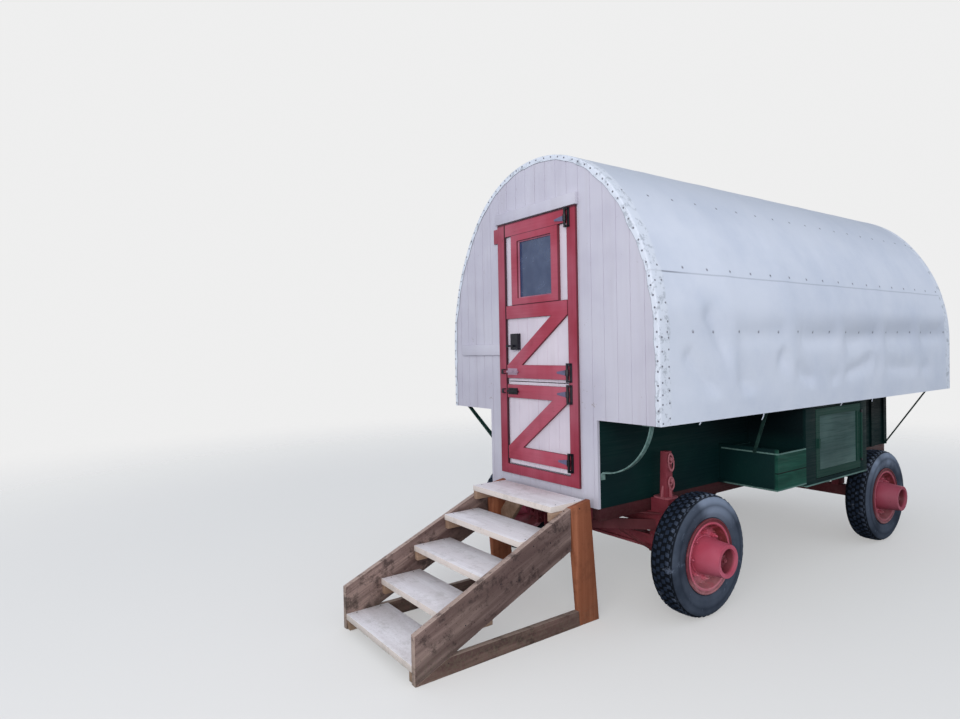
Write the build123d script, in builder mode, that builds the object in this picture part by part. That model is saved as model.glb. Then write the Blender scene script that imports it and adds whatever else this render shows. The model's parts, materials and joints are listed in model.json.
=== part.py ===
from build123d import *
import os
from math import atan2, cos, degrees, radians

# Sheep wagon: a canvas-topped cabin on a narrow box, carried by a four-wheel running gear,
# with wooden entrance steps at the door. Millimetres, +Z up, the door end faces -Y and the
# origin is on the ground under the middle of the whole outline. A size called "back" is a
# distance to the rear from the outer face of the front wall.

os.makedirs("parts", exist_ok=True)

# Cabin
canopy_length = 4270.0        # outer face of front wall to outer face of rear wall
canopy_half_width = 1040.0
canopy_top_z = 3000.0
arch_spring_z = 1710.0        # straight sides end and the arch starts
arch_ease = 0.3273             # 0 gives the crown of an ellipse, 1 that of a half circle
hem_z = 1240.0                # lower edge of the wide part of the cabin
canvas = 6.0
soft_gap = 0.3                # the cloth stands off what it covers
lap_width = 42.0              # canvas folded over the face of each end wall
lap_thickness = 3.0
box_half_width = 550.0
rear_overhang = 200.0         # cabin past the box at the rear
box_bottom_z = 684.0
board = 20.0                  # end walls and box sides
groove_pitch = 104.0
groove_width = 5.0
groove_depth = 2.5
floor_board = 22.0
floor_pitch = 133.0
deck_board = 22.0
side_plate_height = 90.0
bow_thickness = 22.0
bow_width = 38.0
bow_count = 5
ridge_width = 60.0
ridge_height = 24.0
ridge_seat = 2.0              # ridge let into the bows
cleat_width = 60.0
cleat_thickness = 16.0
cleat_spacing = 300.0
bunk_length = 1120.0
bunk_overlap = 70.0

# Doorway and doors
door_half_width = 320.0
door_gap = 6.0
door_head_drop = 400.0        # top of the canopy to the top of the door
jamb_width = 80.0
trim = 20.0                   # boards laid on the face of the wall or the door
sill_rise = 106.0             # bottom of the box to the bottom of the red frame
sill_height = 68.0
lower_leaf_height = 594.0
header_height = 76.0
header_depth = 32.0
header_overlap = 14.0
block_width = 45.0            # short red block beside the head of the frame
block_height = 106.0
batten_length = 494.0         # white batten across the wall beside the lock
batten_height = 82.0
batten_rise = 192.0
ledge_height = 95.0
ledge_edge = 20.0
foot_ledge_rise = 34.0
window_half_width = 178.0
window_share = 0.3574          # height of the window opening in the upper leaf
window_frame_side = 66.0
window_frame_height = 46.0
window_frame_depth = 26.0
glass_thickness = 4.0
glass_rebate = 12.0
brace_foot = 158.0            # length of a diagonal's end along the ledge it meets
brace_end_gap = 10.0
rear_window_half_width = 260.0
rear_window_height = 430.0
rear_window_drop = 720.0

# Hinges, lock and bolts
hinge_height = 126.0
hinge_pin_radius = 8.0
hinge_eye_radius = 12.0
hinge_eye_height = 40.0
hinge_play = 0.05
hinge_leaf = 4.0
hinge_plate_width = 22.0
hinge_tab_height = 14.0
hinge_standoff = 0.5
hinge_plate_gap = 2.0
head_hinge_drop = 18.0
strap_length = 108.0
strap_tip = 12.0
lock_inset = 98.0             # edge of the leaf to the middle of the lock
lock_width = 80.0
lock_share = 0.348            # height of the lock between the ledges beside it
lock_depth = 30.0
lever_length = 70.0
lever_height = 14.0
lever_standoff = 10.0
bolt_length = 104.0
bolt_plate_height = 46.0
bolt_plate = 6.0
bolt_size = 14.0
bolt_inset = 16.0
keeper_width = 20.0           # loop on the jamb that takes the bolt
keeper_depth = 26.0
keeper_height = 34.0
keeper_wall = 5.0

# Side boxes under the overhang
side_box_reach = 450.0        # box side to the outer face
side_box_board = 18.0
tray_back = 1270.0
tray_length = 380.0
tray_height = 256.0
tray_front_rise = 30.0        # front board stands above the sides
tray_lip = 8.0
tray_lip_height = 24.0
cabinet_length = 950.0
cabinet_drop = 24.0           # below the bottom of the box
cabinet_front_stile = 140.0   # face frame in front of the door
cabinet_rear_stile = 104.0
cabinet_door_foot = 40.0
cabinet_door_head = 22.0
cabinet_door_gap = 5.0
panel_rail = 55.0
panel_recess = 8.0
button_width = 20.0           # wooden turn button on the cabinet door
button_height = 70.0
button_depth = 14.0
box_hinge_height = 400.0
box_hinge_leaf = 3.0
box_hinge_width = 26.0
box_hinge_pin_radius = 5.0
box_hinge_eye_radius = 8.0

# Irons under the overhang
iron = 8.0
iron_width = 32.0
iron_reach = 392.0            # box side to the outer end at the deck
iron_foot_drop = 375.0        # deck to the foot on the box side
iron_bend_drop = 326.0
iron_foot_bend = 40.0
iron_hook = 14.0
iron_back = 24.0
iron_belly_reach = 278.0
iron_belly_drop = 218.0
iron_head = 60.0
straight_iron_reach = 351.0
straight_iron_drop = 242.0
straight_iron_half = 7.0
rod_radius = 7.0
rod_inset = 40.0              # rear end of the box to the foot of the rod
rod_reach = 436.0
rod_drop = 545.0
rod_lean = 190.0
strap_foot_reach = 280.0
strap_head_reach = 380.0
strap_width = 24.0
strap_thickness = 5.0
strap_foot_lap = 40.0
hook_length = 200.0
hook_width = 40.0
hook_drop = 21.0
hook_spacing = 600.0

# Running gear
front_axle_back = 550.0
rear_axle_back = 3045.0
tyre_radius = 382.0
tyre_half_section = 92.0
tyre_half_tread = 62.0
tyre_wide_radius = 318.0
tyre_bead_rise = 5.0
rim_outer_x = 959.0
rim_width = 165.0
rim_flange_radius = 235.0
rim_seat_radius = 203.0
rim_wall = 7.0
disc_setback = 54.0           # wheel disc behind the rim's outer face
disc_thickness = 9.0
hub_base_radius = 118.0
hub_end_radius = 101.0
hub_overhang = 126.0          # hub end past the rim's outer face
hub_mouth_radius = 77.0
hub_mouth_depth = 70.0
hub_web_radius = 64.0
hub_tail_radius = 70.0
hub_tail_length = 160.0       # disc to the inner end of the hub
wheel_nut_count = 8
wheel_nut_ring_radius = 144.0
wheel_nut_radius = 16.0
wheel_nut_length = 20.0
kingpin_x = 660.0
kingpin_radius = 16.0
pin_play = 0.05
steer_arm = 180.0
arm_width = 36.0
arm_thickness = 22.0
tie_pin_radius = 8.0
tie_pin_length = 34.0
tie_rod_radius = 13.0
tie_eye_radius = 20.0
tie_open_play = 0.5
axle_width = 70.0
axle_height = 90.0
axle_web = 24.0
axle_flange = 16.0
boss_radius = 36.0
boss_height = 80.0
ear_gap = 2.0
ear_thickness = 28.0
yoke_thickness = 24.0
spindle_radius = 26.0
spindle_gap = 19.0            # yoke or axle end to the hub
thread_radius = 17.0
thread_length = 36.0
nut_radius = 34.0
nut_thickness = 24.0
nut_gap = 0.5
sill_inset = 5.0
sill_width = 70.0
sill_depth = 84.0
joist_count = 6
joist_width = 60.0
bolster_depth = 90.0
bolster_width = 130.0
bolster_half_length = 700.0
stake_rise = 400.0            # bolster ends' underside to the stake's top
stake_thickness = 50.0
stake_width = 78.0
stake_top_width = 52.0
stake_clearance = 62.0
stake_foot = 10.0
riser_outset = 50.0
riser_thickness = 60.0
riser_inset = 10.0
ring_radius = 20.0
ring_wire = 8.0
ring_pin_size = 10.0
ring_pin_length = 16.0
ring_head_size = 20.0
ring_head_thickness = 4.0
upper_ring_drop = 50.0
lower_ring_drop = 190.0
reach_size = 72.0
rear_hound_length = 780.0
rear_hound_reach = 430.0
rear_hound_width = 50.0

# Front hounds and tongue head
hound_height = 70.0
hound_drop = 32.0             # underside of the bolster to the underside of the hounds
hound_bar = 14.0
hound_reach = 575.0
head_back = 56.0
head_half_width = 130.0
head_plate = 16.0
eye_half_span = 45.0
eye_thickness = 15.0
eye_margin = 24.0
eye_bore_radius = 12.5
eye_back = 28.0
hoop_strap = 8.0
hoop_width = 20.0
hoop_start_x = 412.0
hoop_start_back = 328.0
hoop_end_x = 625.0
stay_size = 16.0
stay_start_z = 486.0
stay_foot_x = 560.0
stay_foot_back = 503.0
stay_foot_plate = 12.0
stay_foot_width = 60.0
stay_foot_rear_back = 572.0

# Entrance steps
steps_reach = 1320.0          # front end of the stringers to the front wall
steps_center_x = 105.0
tread_half_length = 403.0
tread_thickness = 38.0
tread_depth = 284.0
tread_run = 240.0
tread_rise = 163.0
first_tread_z = 97.0
tread_count = 5
lumber = 38.0
stringer_nose = 257.0
stringer_drop = 254.0
stringer_slope = 0.432
stringer_toe = 6.0
post_back_gap = 68.0          # rear edge of the post tops to the front wall
post_width = 165.0
post_lean = 62.0
post_top_rise = 30.0
rail_height = 92.0
step_cleat_height = 56.0
step_cleat_inset = 6.0
knee_back_gap = 119.0
knee_low_z = 470.0
knee_high_x = -154.0
knee_width_x = 160.0
knee_slope = 1.16

# derived places
front_y = (steps_reach - canopy_length - trim) / 2
rear_y = front_y + canopy_length
box_rear_y = rear_y - rear_overhang
box_middle_y = (front_y + board + box_rear_y) / 2
box_span_y = box_rear_y - front_y - board
front_axle_y = front_y + front_axle_back
rear_axle_y = front_y + rear_axle_back
axle_z = tyre_radius
wall_inset = canvas + soft_gap
deck_half_width = canopy_half_width - wall_inset
deck_middle_y = (front_y + rear_y) / 2
deck_span_y = canopy_length - 2 * board
inner_half_width = box_half_width - board
sill_outer_x = box_half_width - sill_inset
sill_bottom_z = box_bottom_z + sill_rise
leaf_bottom_z = sill_bottom_z + sill_height + door_gap
lower_leaf_top_z = leaf_bottom_z + lower_leaf_height
upper_leaf_bottom_z = lower_leaf_top_z + door_gap
door_top_z = canopy_top_z - door_head_drop
doorway_top_z = door_top_z + door_gap
doorway_half_width = door_half_width + door_gap
jamb_outer_x = doorway_half_width + jamb_width
window_top_z = door_top_z - ledge_height - window_frame_height
window_height = window_share * (door_top_z - upper_leaf_bottom_z)
window_bottom_z = window_top_z - window_height
window_middle_z = (window_top_z + window_bottom_z) / 2
hinge_x = door_half_width + door_gap / 2
hinge_y = front_y - trim - hinge_eye_radius - hinge_standoff
floor_top_z = box_bottom_z + floor_board
deck_top_z = hem_z + deck_board
plate_top_z = deck_top_z + side_plate_height
beam_bottom_z = box_bottom_z - sill_depth
bolster_bottom_z = beam_bottom_z - bolster_depth
axle_top_z = axle_z + axle_height / 2
disc_x = rim_outer_x - disc_setback
hub_end_x = rim_outer_x + hub_overhang
hub_web_x = hub_end_x - hub_mouth_depth
hub_tail_x = disc_x - hub_tail_length
spindle_root_x = hub_tail_x - spindle_gap
tyre_mid_x = rim_outer_x - rim_width / 2
side_box_x = box_half_width + side_box_reach


def across(y):
    """Plane across the wagon at y, drawn as seen from the front."""
    return Plane.XZ.offset(-y)


def along(x):
    """Plane along the wagon at x: local X runs to the rear, local Y is up."""
    return Plane.YZ.offset(x)


def arch_face(inset, bottom_z, mode=Mode.ADD):
    """Cabin section: straight sides and a three-centred arch, set in from the canvas."""
    rise = canopy_top_z - arch_spring_z
    ease = (rise / canopy_half_width) ** arch_ease
    crown = ease * canopy_half_width**2 / rise
    flank = canopy_half_width**2 + rise**2 - 2 * rise * crown
    flank = flank / (2 * (canopy_half_width - crown))
    flank_x = canopy_half_width - flank
    crown_z = arch_spring_z + rise - crown
    meet = degrees(atan2(abs(rise - crown), abs(flank_x)))
    half_width = canopy_half_width - inset
    with BuildLine() as outline:
        right = CenterArc((flank_x, arch_spring_z), flank - inset, 0, meet)
        left = CenterArc((-flank_x, arch_spring_z), flank - inset, 180 - meet, meet)
        CenterArc((0, crown_z), crown - inset, meet, 180 - 2 * meet)
        Polyline(
            right @ 0,
            (half_width, bottom_z),
            (-half_width, bottom_z),
            left @ 1,
        )
    make_face(outline.edges(), mode=mode)


# Box and floor

with BuildPart() as floor:
    with BuildSketch(across(front_y + board)):
        with Locations((0, box_bottom_z + floor_board / 2)):
            Rectangle(2 * inner_half_width, floor_board)
            joints = 2 * int(inner_half_width / floor_pitch) + 1
            with GridLocations(floor_pitch, floor_board, joints, 2):
                Rectangle(groove_width, 2 * groove_depth, mode=Mode.SUBTRACT)
    extrude(amount=-(box_span_y - board))
floor.part.label = "floor"
export_step(floor.part, "parts/floor.step")

with BuildPart() as box_walls:
    with BuildSketch(Plane.XY.offset(box_bottom_z)):
        with Locations((0, box_middle_y)):
            Rectangle(2 * box_half_width, box_span_y)
        with Locations((0, box_middle_y - board / 2)):
            Rectangle(2 * inner_half_width, box_span_y - board, mode=Mode.SUBTRACT)
        for cleat_y in (box_rear_y - cleat_width / 2, box_rear_y - cleat_spacing):
            with Locations((0, cleat_y)):
                with GridLocations(2 * box_half_width + cleat_thickness, 1, 2, 1):
                    Rectangle(cleat_thickness, cleat_width)
    extrude(amount=hem_z - box_bottom_z)
box_walls.part.label = "box_walls"
export_step(box_walls.part, "parts/box_walls.step")

# End walls

groove_count = 2 * int(deck_half_width / groove_pitch) + 1

with BuildPart() as front_wall:
    with BuildSketch(across(front_y)):
        arch_face(wall_inset, hem_z)
        with Locations((0, (box_bottom_z + hem_z) / 2)):
            Rectangle(2 * box_half_width, hem_z - box_bottom_z)
        opening_bottom_z = sill_bottom_z + sill_height
        with Locations((0, (doorway_top_z + opening_bottom_z) / 2)):
            Rectangle(
                2 * doorway_half_width,
                doorway_top_z - opening_bottom_z,
                mode=Mode.SUBTRACT,
            )
    extrude(amount=-board)
    with Locations((0, front_y, (box_bottom_z + canopy_top_z) / 2)):
        with GridLocations(groove_pitch, 1, groove_count, 1):
            Box(
                groove_width,
                2 * groove_depth,
                canopy_top_z - box_bottom_z,
                mode=Mode.SUBTRACT,
            )
front_wall.part.label = "front_wall"
export_step(front_wall.part, "parts/front_wall.step")

rear_window_top_z = canopy_top_z - rear_window_drop
rear_window_middle_z = rear_window_top_z - rear_window_height / 2

with BuildPart() as rear_wall:
    with BuildSketch(across(rear_y - board)):
        arch_face(wall_inset, hem_z)
        with Locations((0, rear_window_middle_z)):
            Rectangle(2 * rear_window_half_width, rear_window_height, mode=Mode.SUBTRACT)
    extrude(amount=-board)
    with Locations((0, rear_y, (hem_z + canopy_top_z) / 2)):
        with GridLocations(groove_pitch, 1, groove_count, 1):
            Box(groove_width, 2 * groove_depth, canopy_top_z - hem_z, mode=Mode.SUBTRACT)
rear_wall.part.label = "rear_wall"
export_step(rear_wall.part, "parts/rear_wall.step")

with BuildPart() as rear_window_frame:
    with BuildSketch(across(rear_y)):
        with Locations((0, rear_window_middle_z)):
            Rectangle(
                2 * (rear_window_half_width + window_frame_side),
                rear_window_height + 2 * window_frame_height,
            )
            Rectangle(
                2 * (rear_window_half_width - glass_rebate),
                rear_window_height - 2 * glass_rebate,
                mode=Mode.SUBTRACT,
            )
    extrude(amount=-trim)
rear_window_frame.part.label = "rear_window_frame"
export_step(rear_window_frame.part, "parts/rear_window_frame.step")

with BuildPart() as rear_window_glass:
    with Locations((0, rear_y - glass_thickness / 2, rear_window_middle_z)):
        Box(2 * rear_window_half_width, glass_thickness, rear_window_height)
rear_window_glass.part.label = "rear_window_glass"
export_step(rear_window_glass.part, "parts/rear_window_glass.step")

# Deck, bows, canopy and bunk

with BuildPart() as overhang_deck:
    with BuildSketch(Plane.XY.offset(hem_z)):
        with Locations((0, deck_middle_y)):
            Rectangle(2 * deck_half_width, deck_span_y)
        with Locations((0, box_middle_y - board / 2)):
            Rectangle(2 * inner_half_width, box_span_y - board, mode=Mode.SUBTRACT)
    extrude(amount=deck_board)
    with BuildSketch(Plane.XY.offset(deck_top_z)):
        with Locations((0, deck_middle_y)):
            with GridLocations(2 * deck_half_width - bow_thickness, 1, 2, 1):
                Rectangle(bow_thickness, deck_span_y)
    extrude(amount=side_plate_height)
overhang_deck.part.label = "overhang_deck"
export_step(overhang_deck.part, "parts/overhang_deck.step")

with BuildPart() as bows:
    bow_pitch = deck_span_y / (bow_count + 1)
    for number in range(bow_count):
        bow_y = front_y + board + (number + 1) * bow_pitch
        with BuildSketch(across(bow_y - bow_width / 2)):
            arch_face(wall_inset, plate_top_z)
            arch_face(wall_inset + bow_thickness, plate_top_z, mode=Mode.SUBTRACT)
        extrude(amount=-bow_width)
    ridge_top_z = canopy_top_z - wall_inset - bow_thickness + ridge_seat
    with Locations((0, deck_middle_y, ridge_top_z - ridge_height / 2)):
        Box(ridge_width, deck_span_y, ridge_height)
bows.part.label = "bows"
export_step(bows.part, "parts/bows.step")

with BuildPart() as canopy:
    with BuildSketch(across(front_y - lap_thickness)):
        arch_face(0, hem_z)
        arch_face(canvas, hem_z, mode=Mode.SUBTRACT)
    extrude(amount=-(canopy_length + 2 * lap_thickness))
    for lap_y in (front_y - soft_gap, rear_y + lap_thickness):
        with BuildSketch(across(lap_y)):
            arch_face(0, hem_z)
            arch_face(lap_width, hem_z, mode=Mode.SUBTRACT)
        extrude(amount=lap_thickness - soft_gap)
canopy.part.label = "canopy"
export_step(canopy.part, "parts/canopy.step")

with BuildPart() as bunk:
    bunk_rear_y = box_rear_y - board
    bunk_front_y = bunk_rear_y - bunk_length
    bunk_middle_y = (bunk_front_y + bunk_rear_y) / 2
    with Locations((0, bunk_middle_y, deck_top_z + board / 2)):
        Box(2 * (inner_half_width + bunk_overlap), bunk_length, board)
    with Locations((0, bunk_front_y + board / 2, (floor_top_z + deck_top_z) / 2)):
        Box(2 * inner_half_width, board, deck_top_z - floor_top_z)
bunk.part.label = "bunk"
export_step(bunk.part, "parts/bunk.step")

# Door surround

with BuildPart() as door_frame:
    with BuildSketch(across(front_y)):
        frame_middle_z = (doorway_top_z + sill_bottom_z) / 2
        with Locations((0, frame_middle_z)):
            Rectangle(2 * jamb_outer_x, doorway_top_z - sill_bottom_z)
        with Locations((0, frame_middle_z + sill_height / 2)):
            Rectangle(
                2 * doorway_half_width,
                doorway_top_z - sill_bottom_z - sill_height,
                mode=Mode.SUBTRACT,
            )
        block_z = door_top_z - trim - block_height / 2
        with Locations((-jamb_outer_x - block_width / 2, block_z)):
            Rectangle(block_width, block_height)
    extrude(amount=trim)
door_frame.part.label = "door_frame"
export_step(door_frame.part, "parts/door_frame.step")

with BuildPart() as wall_trim:
    with Locations((0, front_y - header_depth / 2, doorway_top_z + header_height / 2)):
        Box(2 * (jamb_outer_x + header_overlap), header_depth, header_height)
    batten_z = lower_leaf_top_z + batten_rise + batten_height / 2
    batten_x = jamb_outer_x + batten_length / 2
    with Locations((-batten_x, front_y - trim / 2, batten_z)):
        Box(batten_length, trim, batten_height)
wall_trim.part.label = "wall_trim"
export_step(wall_trim.part, "parts/wall_trim.step")

# Door leaves; every row is the bottom of a ledge laid across one leaf

lower_foot_z = leaf_bottom_z + foot_ledge_rise
lower_head_z = lower_leaf_top_z - ledge_edge - ledge_height
upper_foot_z = upper_leaf_bottom_z + ledge_edge
upper_middle_z = window_bottom_z - window_frame_height - ledge_height
upper_head_z = door_top_z - ledge_height
lower_hinges = (lower_foot_z + ledge_height / 2, lower_head_z + ledge_height / 2)
upper_hinges = (
    upper_foot_z + ledge_height / 2,
    upper_head_z + ledge_height / 2 - head_hinge_drop,
)


def leaf_boards(bottom_z, top_z):
    """One half of the door: upright boards with a groove at every joint."""
    with BuildPart() as boards:
        with Locations((0, front_y + board / 2, (bottom_z + top_z) / 2)):
            Box(2 * door_half_width, board, top_z - bottom_z)
        with Locations((0, front_y, (bottom_z + top_z) / 2)):
            with GridLocations(groove_pitch, 1, 2 * int(door_half_width / groove_pitch) + 1, 1):
                Box(groove_width, 2 * groove_depth, top_z - bottom_z, mode=Mode.SUBTRACT)
    return boards.part


def ledged_frame(rows, foot_z, head_z):
    """Ledges at the given rows and a diagonal rising towards the hinges."""
    with BuildPart() as frame:
        with BuildSketch(across(front_y)):
            for row_z in rows:
                with Locations((0, row_z + ledge_height / 2)):
                    Rectangle(2 * door_half_width, ledge_height)
            low_x = brace_end_gap - door_half_width
            high_x = door_half_width
            with BuildLine():
                Polyline(
                    (low_x, foot_z),
                    (low_x + brace_foot, foot_z),
                    (high_x, head_z),
                    (high_x - brace_foot, head_z),
                    close=True,
                )
            make_face()
        extrude(amount=trim)
    return frame.part


with BuildPart() as lower_leaf:
    add(leaf_boards(leaf_bottom_z, lower_leaf_top_z))
lower_leaf.part.label = "lower_leaf"
export_step(lower_leaf.part, "parts/lower_leaf.step")

with BuildPart() as lower_ledges:
    add(
        ledged_frame(
            (lower_foot_z, lower_head_z), lower_foot_z + ledge_height, lower_head_z
        )
    )
lower_ledges.part.label = "lower_ledges"
export_step(lower_ledges.part, "parts/lower_ledges.step")

with BuildPart() as upper_leaf:
    add(leaf_boards(upper_leaf_bottom_z, door_top_z))
    with Locations((0, front_y + board / 2, window_middle_z)):
        Box(
            2 * (window_half_width + glass_rebate),
            board,
            window_height + 2 * glass_rebate,
            mode=Mode.SUBTRACT,
        )
upper_leaf.part.label = "upper_leaf"
export_step(upper_leaf.part, "parts/upper_leaf.step")

with BuildPart() as upper_ledges:
    add(
        ledged_frame(
            (upper_foot_z, upper_middle_z, upper_head_z),
            upper_foot_z + ledge_height,
            upper_middle_z,
        )
    )
    with BuildSketch(across(front_y)):
        with Locations((0, window_middle_z)):
            Rectangle(
                2 * (window_half_width + window_frame_side),
                window_height + 2 * window_frame_height,
            )
    extrude(amount=window_frame_depth)
    with BuildSketch(across(front_y)):
        with Locations((0, window_middle_z)):
            Rectangle(2 * window_half_width, window_height)
    extrude(amount=window_frame_depth, mode=Mode.SUBTRACT)
upper_ledges.part.label = "upper_ledges"
export_step(upper_ledges.part, "parts/upper_ledges.step")

with BuildPart() as upper_glass:
    with Locations((0, front_y + glass_thickness / 2, window_middle_z)):
        Box(
            2 * (window_half_width + glass_rebate),
            glass_thickness,
            window_height + 2 * glass_rebate,
        )
upper_glass.part.label = "upper_glass"
export_step(upper_glass.part, "parts/upper_glass.step")

# Hinges: the fixed half carries an upright pin between two tabs

box_pivot_x = side_box_x + box_hinge_eye_radius + hinge_standoff
cabinet_front_y = front_y + tray_back + tray_length
cabinet_rear_y = cabinet_front_y + cabinet_length
cabinet_bottom_z = box_bottom_z - cabinet_drop
cabinet_door_front_y = cabinet_front_y + cabinet_front_stile
cabinet_door_rear_y = cabinet_rear_y - cabinet_rear_stile
cabinet_door_bottom_z = cabinet_bottom_z + cabinet_door_foot
cabinet_door_top_z = hem_z - cabinet_door_head
cabinet_door_middle_y = (cabinet_door_front_y + cabinet_door_rear_y) / 2
cabinet_door_middle_z = (cabinet_door_bottom_z + cabinet_door_top_z) / 2
box_pivot_y = cabinet_door_rear_y - cabinet_door_gap / 2

with BuildPart() as hinge_plates:
    for hinge_z in lower_hinges + upper_hinges:
        plate_x = hinge_x + hinge_eye_radius + hinge_plate_gap + hinge_plate_width / 2
        plate_y = front_y - trim - hinge_leaf / 2
        with BuildSketch(Plane.XY.offset(hinge_z - hinge_height / 2)):
            with Locations((plate_x, plate_y)):
                Rectangle(hinge_plate_width, hinge_leaf)
            with Locations((hinge_x, hinge_y)):
                Circle(hinge_pin_radius)
        extrude(amount=hinge_height)
        tab_y = (hinge_y + front_y - trim) / 2
        for tab_z in (
            hinge_z - hinge_height / 2,
            hinge_z + hinge_height / 2 - hinge_tab_height,
        ):
            with BuildSketch(Plane.XY.offset(tab_z)):
                with Locations(((hinge_x + plate_x) / 2, tab_y)):
                    Rectangle(plate_x - hinge_x, front_y - trim - hinge_y)
            extrude(amount=hinge_tab_height)
    for bolt_z in (
        lower_head_z + ledge_height / 2,
        upper_foot_z + ledge_height / 2,
    ):
        keeper_x = -doorway_half_width - keeper_width
        with Locations((keeper_x, front_y - trim - keeper_depth / 2, bolt_z)):
            Box(keeper_width, keeper_depth, keeper_height)
        with Locations((keeper_x, front_y - trim - (keeper_depth - keeper_wall) / 2, bolt_z)):
            Box(
                keeper_width,
                keeper_depth - keeper_wall,
                keeper_height - 2 * keeper_wall,
                mode=Mode.SUBTRACT,
            )
    for side in (-1, 1):
        box_plate_y = box_pivot_y + box_hinge_eye_radius + hinge_plate_gap + box_hinge_width / 2
        box_hinge_z = cabinet_door_middle_z - box_hinge_height / 2
        with BuildSketch(Plane.XY.offset(box_hinge_z)):
            with Locations((side * (side_box_x + box_hinge_leaf / 2), box_plate_y)):
                Rectangle(box_hinge_leaf, box_hinge_width)
            with Locations((side * box_pivot_x, box_pivot_y)):
                Circle(box_hinge_pin_radius)
        extrude(amount=box_hinge_height)
        tab_x = side * (side_box_x + box_pivot_x) / 2
        for tab_z in (box_hinge_z, box_hinge_z + box_hinge_height - hinge_tab_height):
            with BuildSketch(Plane.XY.offset(tab_z)):
                with Locations((tab_x, (box_pivot_y + box_plate_y) / 2)):
                    Rectangle(box_pivot_x - side_box_x, box_plate_y - box_pivot_y)
            extrude(amount=hinge_tab_height)
hinge_plates.part.label = "hinge_plates"
export_step(hinge_plates.part, "parts/hinge_plates.step")


def strap_hinge(hinge_z):
    """The door's half of a hinge: a tapered strap on the ledge and an eye on the pin."""
    with BuildPart() as strap:
        with BuildSketch(across(front_y - trim)):
            root = hinge_eye_height / 2
            tip = strap_tip / 2
            with BuildLine():
                Polyline(
                    (hinge_x, hinge_z - root),
                    (hinge_x, hinge_z + root),
                    (hinge_x - hinge_eye_radius, hinge_z + root),
                    (hinge_x - strap_length, hinge_z + tip),
                    (hinge_x - strap_length, hinge_z - tip),
                    (hinge_x - hinge_eye_radius, hinge_z - root),
                    close=True,
                )
            make_face()
        extrude(amount=hinge_leaf)
        with BuildSketch(Plane.XY.offset(hinge_z - root)):
            with Locations((hinge_x, hinge_y)):
                RegularPolygon(hinge_eye_radius, 8, major_radius=False, rotation=22.5)
        extrude(amount=hinge_eye_height)
        with BuildSketch(Plane.XY.offset(hinge_z - root)):
            with Locations((hinge_x, hinge_y)):
                Circle(hinge_pin_radius + hinge_play)
        extrude(amount=hinge_eye_height, mode=Mode.SUBTRACT)
    return strap.part


def slide_bolt(bolt_z):
    """A bolt drawn back from the jamb: its plate and bar on the ledge at the lock side."""
    with BuildPart() as bolt:
        plate_x = bolt_inset + bolt_length / 2 - door_half_width
        with Locations((plate_x, front_y - trim - bolt_plate / 2, bolt_z)):
            Box(bolt_length, bolt_plate, bolt_plate_height)
        bar_y = front_y - trim - bolt_plate - bolt_size / 2
        with Locations((plate_x + bolt_inset / 2, bar_y, bolt_z)):
            Box(bolt_length + bolt_inset, bolt_size, bolt_size)
    return bolt.part


with BuildPart() as upper_hardware:
    for hinge_z in upper_hinges:
        add(strap_hinge(hinge_z))
    add(slide_bolt(upper_foot_z + ledge_height / 2))
    lock_x = lock_inset - door_half_width
    lock_foot_z = upper_foot_z + ledge_height
    lock_height = lock_share * (upper_middle_z - lock_foot_z)
    lock_z = (lock_foot_z + upper_middle_z) / 2
    with Locations((lock_x, front_y - lock_depth / 2, lock_z)):
        Box(lock_width, lock_depth, lock_height)
    lever_y = front_y - lock_depth - lever_standoff
    lever_z = lock_z - lock_height / 4
    with Locations((lock_x, lever_y, lever_z)):
        Box(lever_height, 2 * lever_standoff, lever_height)
    with Locations((lock_x - lever_length / 2, lever_y - lever_standoff / 2, lever_z)):
        Box(lever_length, lever_standoff, lever_height)
upper_hardware.part.label = "upper_hardware"
export_step(upper_hardware.part, "parts/upper_hardware.step")

with BuildPart() as lower_hardware:
    for hinge_z in lower_hinges:
        add(strap_hinge(hinge_z))
    add(slide_bolt(lower_head_z + ledge_height / 2))
lower_hardware.part.label = "lower_hardware"
export_step(lower_hardware.part, "parts/lower_hardware.step")

# Irons: a bowed bar and a straight bar at the front, rods at the rear, straps to the
# trays, and the hooks that hold the steps to the front wall

cleat_face_x = box_half_width + cleat_thickness
rod_foot_y = box_rear_y - rod_inset
rod_low = Vector(cleat_face_x, rod_foot_y, hem_z - rod_drop)
rod_high = Vector(box_half_width + rod_reach, rod_foot_y - rod_lean, hem_z)
rod_run = rod_high - rod_low

with BuildPart() as rear_rod:
    with BuildSketch(Plane(origin=rod_low - rod_run * 0.1, z_dir=rod_run)):
        RegularPolygon(rod_radius, 8)
    extrude(amount=1.2 * rod_run.length)
    split(bisect_by=Plane.XY.offset(hem_z), keep=Keep.BOTTOM)
    split(bisect_by=Plane.YZ.offset(cleat_face_x), keep=Keep.TOP)

top_tread_z = first_tread_z + (tread_count - 1) * tread_rise

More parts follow.
